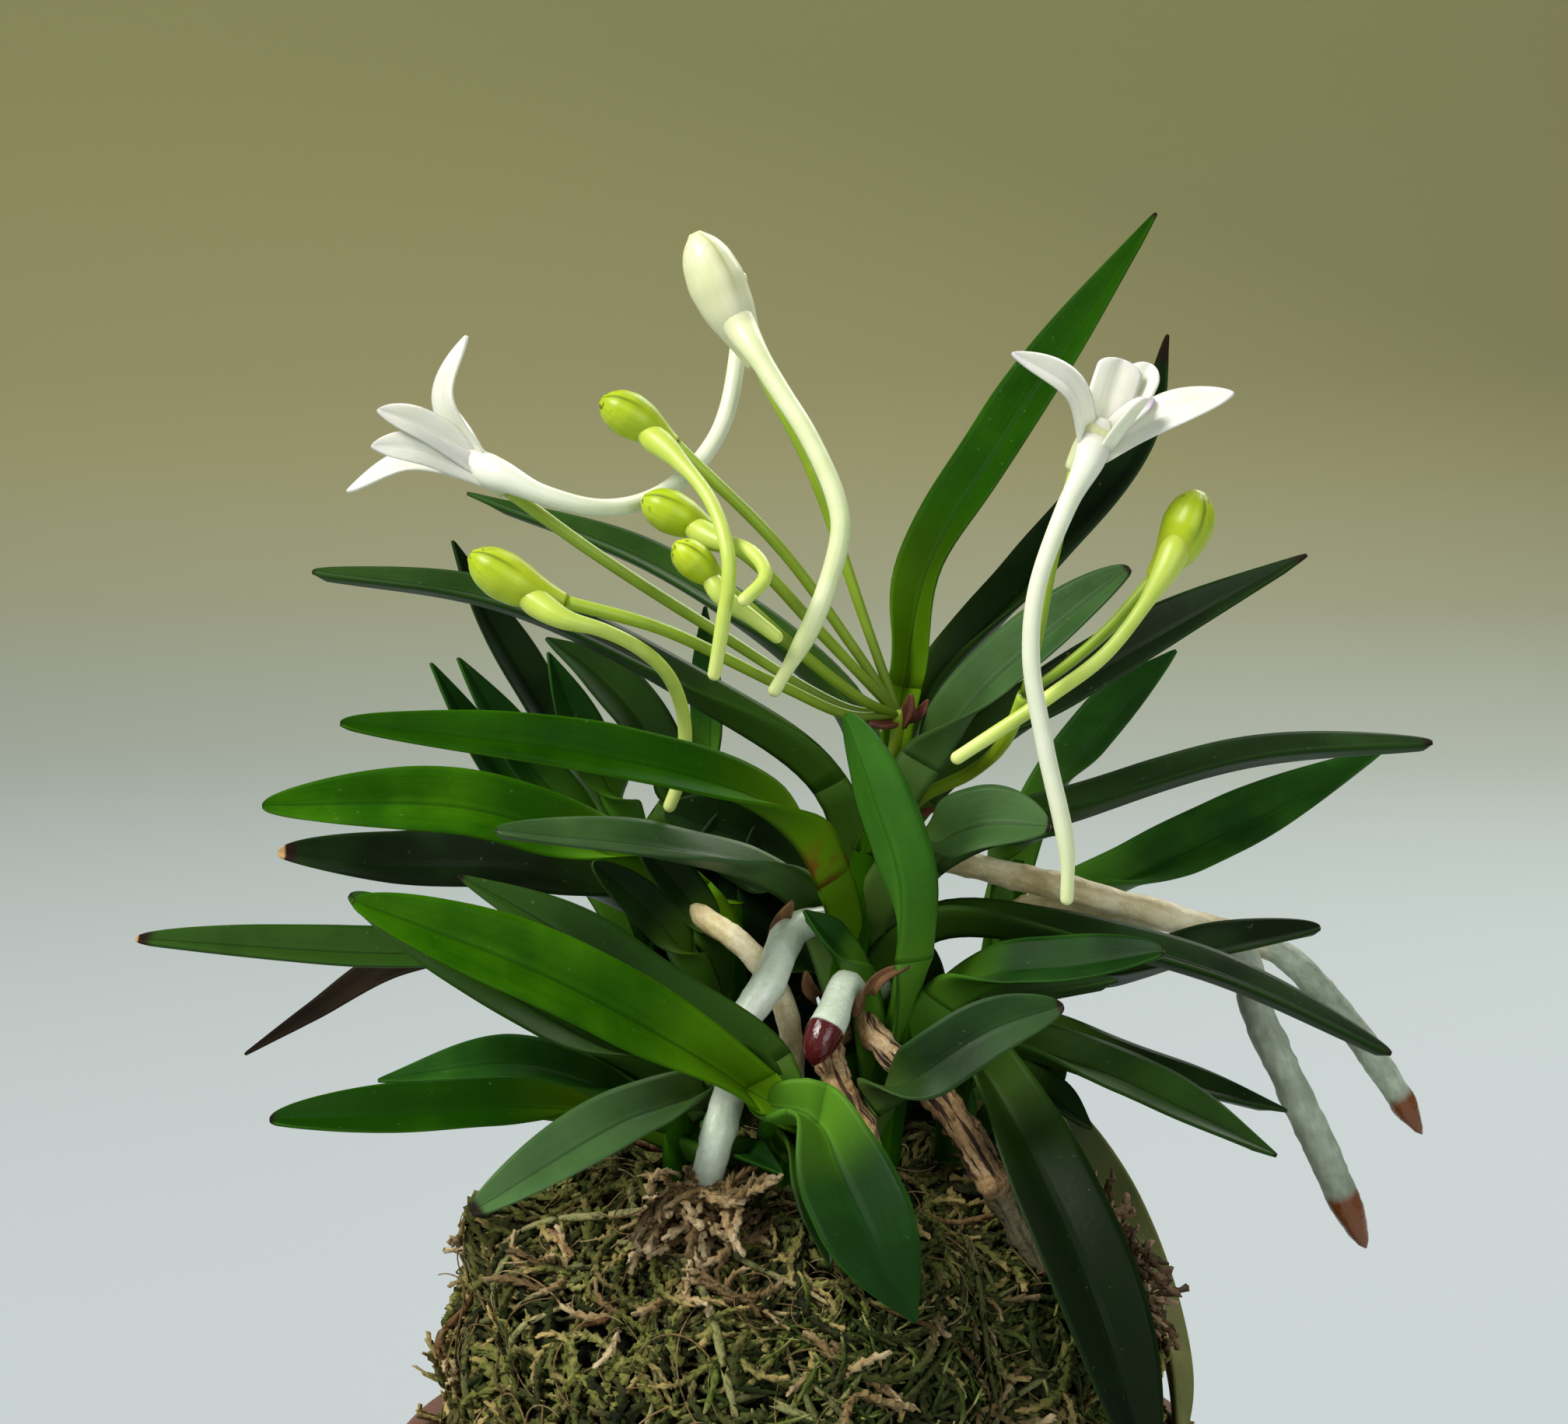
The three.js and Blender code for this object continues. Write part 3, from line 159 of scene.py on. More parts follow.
def relief(surface, height, strength, distance):
    """Fine relief on a surface from a height, in metres at full strength."""
    reads = {"Height": height, "Strength": strength, "Distance": distance}
    plug(surface.inputs["Normal"], node(height.tree, "Bump", "Normal", reads))


def turned(profile, sides):
    """A shape turned on a wheel from a profile of (radius, height)."""
    bm = bmesh.new()
    line = [bm.verts.new((r, 0, z)) for r, z in profile]
    edges = [bm.edges.new(pair) for pair in zip(line, line[1:])]
    bmesh.ops.spin(
        bm, geom=line + edges, cent=(0, 0, 0), axis=(0, 0, 1), angle=2 * math.pi, steps=sides, use_merge=True
    )
    bmesh.ops.remove_doubles(bm, verts=bm.verts, dist=WELD)
    return bm


def shaped(name, bm, *materials):
    """An object in the scene with the shape of a bmesh, which it uses up."""
    mesh = bpy.data.meshes.new(name)
    bm.to_mesh(mesh)
    bm.free()
    for material in materials:
        mesh.materials.append(material)
    made = bpy.data.objects.new(name, mesh)
    bpy.context.scene.collection.objects.link(made)
    return made


def keep(name, bm, materials, slot, *nodes):
    """The finished piece from its bmesh: it rides with the object and stands for its solids."""
    bmesh.ops.recalc_face_normals(bm, faces=bm.faces)
    piece = shaped(name, bm, *materials)
    piece.data.shade_smooth()
    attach(piece, "root")
    if nodes:
        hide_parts(*nodes)
    return piece


clay, surface, place = new_finish("fired clay", Roughness=0.78)
_, _, height = parts(place)
cloudy = grain(place, 60, 6)
turning = grain(place, 40, 3, (1, 1, 40))
body = shades(cloudy, CLAY_PLACES, CLAY)
body = over(remap(turning, 0.5, 0.75, 0, 0.3), body, "#3a2620")
body = over(remap(height, DAMP_TOP, 0, 0, 0.7) * cloudy, body, "#33221b")
body = over(remap(height, BLOOM_FOOT, BLOOM_FULL) * remap(cloudy, 0.5, 0.7, 0, 0.5), body, "#a8937f")
plug(surface.inputs["Base Color"], body)
relief(surface, grain(place, 1400, 3) + turning * 1.5, 0.5, 0.0002)

bm = turned(POT_PROFILE, POT_SIDES)
sharp_rings = [e for e in bm.edges if len(e.link_faces) == 2 and e.calc_face_angle() > SHARP]
bmesh.ops.bevel(
    bm, geom=sharp_rings, offset=POT_EDGE, segments=3, profile=0.5, affect="EDGES", material=-1,
    clamp_overlap=True,
)
pot = keep("pot_dressed", bm, [clay], "pot", "pot")
for i in range(DRAIN_HOLES):
    bm = bmesh.new()
    turn = 2 * math.pi * i / DRAIN_HOLES
    spot = Matrix.Translation((DRAIN_CIRCLE * math.cos(turn), DRAIN_CIRCLE * math.sin(turn), 0))
    bmesh.ops.create_cone(
        bm, cap_ends=True, segments=DRILL_SIDES, radius1=DRAIN_HOLE_RADIUS, radius2=DRAIN_HOLE_RADIUS,
        depth=DRILL_LENGTH, matrix=spot,
    )
    drill = shaped("drill", bm)
    bore = pot.modifiers.new("bore", "BOOLEAN")
    bore.operation = "DIFFERENCE"
    bore.object = drill
    bored = bpy.data.meshes.new_from_object(pot.evaluated_get(bpy.context.evaluated_depsgraph_get()))
    pot.modifiers.clear()
    pot.data = bored
    bpy.data.objects.remove(drill)

# Moss mound: long dried sphagnum strands wound round the root ball and pushed into the pot. Inside
# is a packed dark ball. Over it lie crumbly strands, long stems, curled hairs, sticks and pale tufts.
RIM = Vector((0, 0, POT_HEIGHT))
MOUND_RADIUS = 0.0318
MOUND_RISE = 0.0268
CROWN_ABOVE_RIM = 0.028
SHOULDER = 3.7  # exponent of the mound's outline: 2 is a ball, more is squarer
LINK = 0.005  # length of one link of a strand
LUMPS = 0.0008  # how far the lumps of the mound rise and its hollows sink
WALL_GAP = 0.0004  # between the pot's wall and the moss inside it
ON_TOP = 0.4  # chance that a strand of a place that reaches the crown lies on the mound's top
TOP_REACH = 0.96  # share of the mound's radius out to which those lie
SLIMMER = 0.45  # how much a strand gets thinner towards its end
BOW = 0.0009  # how far the middle of a strand may rise
STRAND_SIZES = (0.75, 1.2)
SCALE_SLANT = 0.7  # how far on a scale of a link is pushed, as a share of a row
INSIDE_POT = 0.0006  # height over the rim below which the moss keeps off the pot's wall

# Places of strands: lowest and highest angle in degrees, lowest and highest place in mm from the
# crown. Two more values are the shares of the mound's radius between which they lie on its top.
SIDES = [(0, 360, -30, 0.4)]
RIM_SIDE = [(0, 360, -27.6, -25)]
GREEN_SIDE = [(-105, 0, -26, -3)]
TUFTS = [
    (178, 186, -24, -19), (170, 182, -10, -5), (-6, 6, -13, -9), (-14, -2, -11, -7), (-20, -8, -5, -1),
    (-106, -96, -3, 0), (-125, -110, -7, -2), (-66, -56, -6, -3), (85, 95, -8, -4), (135, 145, -16, -11),
    (-64, -56, -16, -13), (-150, -142, -6, -2), (30, 40, -6, -2), (-86, -80, -12, -9),
]
FOOT_CLUMP = [(-125, -104, 0, 0, 0.66, 0.78)]  # at the foot of the white root
RIGHT_TUFTS = [(-22, 12, -9, -1), (-16, 4, -14, -8), (-34, -18, -5, 0), (-14, 8, 0, 0, 0.9, 1.02)]


def loft(bm, rings, finish=0, span=(0, 1)):
    """Skins a row of rings with the same number of points each and closes both ends. Its pattern
    runs once round, and along it over span."""
    columns = len(rings[0])
    grid = bmesh.ops.create_grid(bm, x_segments=columns, y_segments=len(rings) - 1, size=1, calc_uvs=True)
    grid = grid["verts"]
    rows = [grid[i * (columns + 1) : (i + 1) * (columns + 1)] for i in range(len(rings))]
    faces = {face for vert in grid for face in vert.link_faces}
    pattern = bm.loops.layers.uv.active
    for face in faces:
        face.material_index = finish
        for corner in face.loops if pattern else ():
            u, v = corner[pattern].uv
            corner[pattern].uv = (u, span[0] + v * (span[1] - span[0]))
    for row, ring in zip(rows, rings):
        for vert, point in zip(row, ring):
            vert.co = point
        row[-1].co = ring[0]
    bmesh.ops.weld_verts(bm, targetmap={row[-1]: row[0] for row in rows})
    rows = [row[:-1] for row in rows]
    for row in (rows[0], rows[-1]):
        rim = [edge for vert in row for edge in vert.link_edges if edge.is_boundary]
        for face in bmesh.ops.edgeloop_fill(bm, edges=list(dict.fromkeys(rim)))["faces"]:
            face.material_index = finish
    return rows


def round_rings(points, tangents, radii, sides, start=Vector((0.31, -0.83, 0.46))):
    """Round rings along a path, each turned as little as it can be from the one before."""
    across = start
    rings = []
    for point, tangent, radius in zip(points, tangents, radii):
        across = (across - tangent * across.dot(tangent)).normalized()
        other = tangent.cross(across)
        angles = [2 * math.pi * j / sides for j in range(sides)]
        rings.append([point + (across * math.cos(a) + other * math.sin(a)) * radius for a in angles])
    return rings


def to_outline(out, up):
    """How far a place, given in shares of the mound's radius and rise, is moved to lie on the mound."""
    return (out**SHOULDER + up**SHOULDER) ** (-1 / SHOULDER)


def mound_place(near, lift):
    """Puts points near the mound onto its lumpy surface, raised by lift: x, y, z from the rim."""
    out = np.hypot(near[:, 0], near[:, 1]) + 1e-9
    up = np.maximum(near[:, 2], 1e-6)
    size = to_outline(out / MOUND_RADIUS, up / MOUND_RISE)
    spot = near * size[:, None]
    spot[:, 2] = np.where(near[:, 2] < 0, near[:, 2], spot[:, 2])
    slope_out = (out * size / MOUND_RADIUS) ** (SHOULDER - 1) / MOUND_RADIUS
    slope_up = (up * size / MOUND_RISE) ** (SHOULDER - 1) / MOUND_RISE
    normal = np.stack([near[:, 0] / out * slope_out, near[:, 1] / out * slope_out, slope_up], 1)
    normal /= np.linalg.norm(normal, axis=1)[:, None]
    x, y, z = spot.T
    lumps = np.sin(610 * x + 240 * y) + np.sin(560 * y - 470 * z) + np.sin(520 * z + 390 * x + 2)
    return spot + normal * (lift + LUMPS * lumps)[:, None]


def moss_link(sides, rows, radius, push):
    """One link of a strand, along +X. Every other corner is pushed out and on, like a scale."""
    bm = bmesh.new()
    path = [Vector((LINK * i / rows, 0, 0)) for i in range(rows + 1)]
    along = [Vector((1, 0, 0))] * (rows + 1)
    rings = round_rings(path, along, [radius] * (rows + 1), sides, Vector((0, 1, 0)))
    slant = LINK / rows * SCALE_SLANT * (push > 1)
    for i, row in enumerate(loft(bm, rings)[:-1]):
        for j, vert in enumerate(row):
            if (i + j) % 2:
                vert.co = (vert.co.x + slant, vert.co.y * push, vert.co.z * push)
    link = bpy.data.meshes.new("moss link")
    bm.to_mesh(link)
    bm.free()
    return link


def lay_on_mound(
    name, link, finish, strands, seed, links, lifts, curl, stands=(0,), places=SIDES, tint=(0, 1)
):
    """Strands laid over the mound as chains of links, each curled, lifted and tinted in its own way."""
    chance = random.Random(seed)
    flat = np.empty(len(link.vertices) * 3)
    link.vertices.foreach_get("co", flat)
    flat = flat.reshape(-1, 3)
    bm = bmesh.new()
    placed, tints = [], []
    for _ in range(strands):
        low_angle, high_angle, low, high, *on_top = chance.choice(places)
        turn = math.radians(chance.uniform(low_angle, high_angle))
        height = chance.uniform(low, high) * 0.001 + CROWN_ABOVE_RIM
        out = MOUND_RADIUS
        if high > 0 and chance.random() < ON_TOP:
            height, out = MOUND_RISE, MOUND_RADIUS * TOP_REACH * math.sqrt(chance.random())
        if on_top:
            height, out = MOUND_RISE, MOUND_RADIUS * chance.uniform(*on_top)
        foot = np.array([math.cos(turn) * out, math.sin(turn) * out, height])
        outward = np.array([math.cos(turn), math.sin(turn), 0])
        if out < MOUND_RADIUS:
            outward = foot / np.linalg.norm(foot)
        side = np.cross(outward, [0.1, 0, 1])
        side /= np.linalg.norm(side)
        upright = np.cross(side, outward)
        heading = chance.uniform(0, 2 * math.pi)
        ahead = side * math.cos(heading) + upright * math.sin(heading)
        beside = np.cross(outward, ahead)
        chain = chance.randint(*links)
        bend = chance.choice((-1, 1)) * chance.uniform(*curl)
        size = chance.uniform(*STRAND_SIZES)
        lift = chance.uniform(*lifts)
        bow = chance.uniform(0, BOW)
        stand = chance.choice(stands) * chance.uniform(0.5, 1)
        shade = chance.uniform(*tint)
        for number in range(chain):
            bm.from_mesh(link)
            x = flat[:, 0] + number * LINK
            share = x / (chain * LINK)
            slim = size * (1 - SLIMMER * share**3)
            roll = chance.uniform(0, 6)
            sideways = slim * (flat[:, 1] * math.cos(roll) - flat[:, 2] * math.sin(roll))
            upwards = slim * (flat[:, 1] * math.sin(roll) + flat[:, 2] * math.cos(roll))
            near = foot + np.outer(np.sin(bend * x) / bend - sideways * np.sin(bend * x), ahead)
            near += np.outer((1 - np.cos(bend * x)) / bend + sideways * np.cos(bend * x), beside)
            rise = lift + upwards + bow * np.sin(math.pi * share) + stand * share**1.6
            spot = mound_place(near, rise)
            radius = np.hypot(spot[:, 0], spot[:, 1])
            held = np.minimum(radius, POT_INSIDE_RIM - WALL_GAP)
            inside = np.where(spot[:, 2] < INSIDE_POT, held, radius)
            spot[:, :2] *= (inside / radius)[:, None]
            placed.append(spot + np.array(RIM))
            tints.append(np.stack([np.full(len(share), shade), share, flat[:, 1] * 0], 1))
    piece = keep(name, bm, [finish], "moss")
    piece.data.vertices.foreach_set("co", np.concatenate(placed).ravel())
    marks = piece.data.attributes.new("strand", "FLOAT_VECTOR", "POINT")
    marks.data.foreach_set("vector", np.concatenate(tints).ravel())
    piece.data.update()


def moss_finish(name, tones, tip):
    """Dry moss: each strand has its own tint, is crumbly and blotched, and is paler at its end. One side of
    the mound is greener and darker, partly damp green moss and partly painted shade."""
    material, surface, place = new_finish(name, Roughness=0.95, Specular_IOR_Level=0.15)
    tint, along, _ = parts(node(place.tree, "Attribute", "Vector", attribute_name="strand"))
    across, _, _ = parts(place)
    patch = grain(place, 90, 3)
    crumb = grain(place, 1500, 4)
    dry = shades(tint * 0.5 + patch * 0.45 + crumb * 0.35, (0.35, 0.6, 0.85, 1.05), tones)
    # the right side is laid over with dark green: partly greener damp moss, partly painted shade
    damp_and_shade = remap(across, -0.01, 0.025) * remap(patch, 0.3, 0.6)
    dry = over(damp_and_shade * 0.5, dry, "#2b3a12")
    dry = over(remap(along, 0.55, 1.0) * tint, dry, tip)
    dry = over(remap(crumb, 0.5, 0.3, 0, 0.6), dry, tones[0])
    plug(surface.inputs["Base Color"], dry)
    relief(surface, crumb, 0.9, 0.0004)
    return material


BALL_SIDES = 120
BALL_LUMPS = 0.0009  # height of the ball's lumps, and how deep it lies under the strands
BALL_DEPTH = 0.0012
ABOVE_POT = POT_HEIGHT + 0.001
ARCH_STEPS = 24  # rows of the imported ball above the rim
ball_foot = POT_FLOOR + 0.0003
arch = [(0.0001, ball_foot), (POT_INSIDE_FOOT - WALL_GAP, ball_foot)]
arch += [(POT_INSIDE_RIM - 0.0006, POT_HEIGHT - 0.001)]
for i in range(ARCH_STEPS + 1):
    lean = math.pi / 2 * i / ARCH_STEPS
    size = to_outline(abs(math.cos(lean)), abs(math.sin(lean)))
    out = max(0.0001, MOUND_RADIUS * size * math.cos(lean))
    arch.append((out, POT_HEIGHT + MOUND_RISE * size * math.sin(lean)))
bm = turned(arch, BALL_SIDES)
for vert in bm.verts:
    if vert.co.z > ABOVE_POT:
        lump = noise.fractal(vert.co * 260, 0.6, 2.0, 4)
        vert.co += (vert.co - RIM).normalized() * (lump * BALL_LUMPS - BALL_DEPTH)
MOSSES = {
    # tones from the deepest to the lightest, and the tone of the strands' ends
    "packed moss": (("#0b0b05", "#191a0c", "#2b2b16", "#3d3a20"), "#3d3a20"),
    "olive moss": (("#14180b", "#424720", "#727337", "#a69e61"), "#b39a63"),
    "dark moss": (("#0c1106", "#242e12", "#414f1f", "#697038"), "#746e3e"),
    "brown moss": (("#2c1f12", "#57402a", "#84674a", "#ab9070"), "#a5846a"),
    "pale moss": (("#503f27", "#846c45", "#ab9268", "#cdb78e"), "#c6b38c"),
    "green moss": (("#121b07", "#2b380f", "#4b5a20", "#707a3a"), "#98985a"),
    "moss stems": (("#2a2c14", "#5c5e36", "#8a8a58", "#aea674"), "#a8946a"),
    "dry sticks": (("#3b2614", "#6b4c2e", "#977552", "#bb9c76"), "#8f6c48"),
}
MOSS_FINISHES = {name: moss_finish(name, *tones) for name, tones in MOSSES.items()}
keep("moss_ball", bm, [MOSS_FINISHES["packed moss"]], "moss", "moss_mound")
LINKS = {
    # its sides, its rows, its radius and how far its scales stand out
    "crumbly": moss_link(5, 9, 0.00027, 2.5),
    "ribbed": moss_link(6, 4, 0.00036, 1.15),
    "hair": moss_link(3, 8, 0.00011, 1),
    "needle": moss_link(4, 5, 0.0002, 1.5),
}
STRANDS = [
    # name, link, finish, how many, seed, links in one, lift, bend, how far ends stand up, places, tint
    ("under", "crumbly", "dark moss", 720, 1, (1, 4), (-0.0012, 0.0002), (20, 260)),
    ("strands", "crumbly", "olive moss", 780, 2, (1, 4), (-0.0004, 0.0009), (20, 320), (0, 0, 0.001)),
    ("curls", "crumbly", "olive moss", 820, 3, (1, 2), (0, 0.0012), (150, 480), (0, 0.001, 0.0022)),
    ("stems", "ribbed", "moss stems", 90, 4, (3, 7), (0.0004, 0.0014), (4, 40)),
    ("needles", "needle", "green moss", 1200, 5, (1, 1), (-0.001, 0.001), (20, 200), (0.001,), GREEN_SIDE),
    ("hairs", "hair", "pale moss", 420, 6, (1, 3), (0.0004, 0.0018), (60, 420), (0, 0.002), SIDES, (0, 0.5)),
    ("spill", "crumbly", "olive moss", 260, 9, (1, 2), (0, 0.001), (100, 400), (0.003, 0.0045), RIM_SIDE),
    ("tufts", "crumbly", "pale moss", 110, 7, (1, 1), (0, 0.0008), (60, 400), (0.0034,), TUFTS),
    ("clump", "crumbly", "pale moss", 110, 10, (1, 1), (0, 0.0062), (100, 500), (0, 0.0008), FOOT_CLUMP),
    ("browned", "crumbly", "brown moss", 110, 11, (1, 1), (0, 0.003), (80, 420), (0.0034,), RIGHT_TUFTS),
    ("sticks", "ribbed", "dry sticks", 16, 8, (1, 3), (0.001, 0.0018), (2, 30)),
]
for name, link, finish, *laid in STRANDS:
    lay_on_mound("moss_" + name, LINKS[link], MOSS_FINISHES[finish], *laid)

# Leafy stems: eight short growths of one clump. Each is a thin green axis that the folded foot of
# every leaf clasps, in two rows like a closed fan. A few young and old leaves stay small.
CROWN = Vector((0, 0, 0.102))  # top of the moss, from which the plant's points are measured in mm
STEMS = {
    "main": (2.3, [(3.5, 3, -7), (4.5, 2, 13), (6, 1, 25), (7.8, 0.5, 35), (8.6, 0.5, 39)]),
    "front": (1.9, [(6.5, -4.5, -7), (8, -7, 8), (9.3, -8.5, 16), (9.8, -9, 20)]),
    "low": (1.8, [(-2.5, -10, -7), (-2.6, -12, 2), (-2.2, -14.5, 6.6), (-1.5, -19, 9.4)]),
    "left": (2.1, [(-7.5, 3, -7), (-7.5, 3.5, 11), (-6.6, 4, 24)]),
    "left_low": (1.7, [(-11.4, -4, -7), (-11.2, -5, 3), (-10.8, -7.2, 8.5)]),
    "back_left": (1.9, [(-13, 14, -7), (-14, 16.5, 12), (-15, 17.5, 26)]),
    "back_right": (1.9, [(15.5, 12, -7), (19, 15.5, 12), (21.3, 16, 26)]),
    "right": (1.9, [(14, -1, -7), (14.6, -2, 4), (14.6, -4.5, 9.5)]),
}

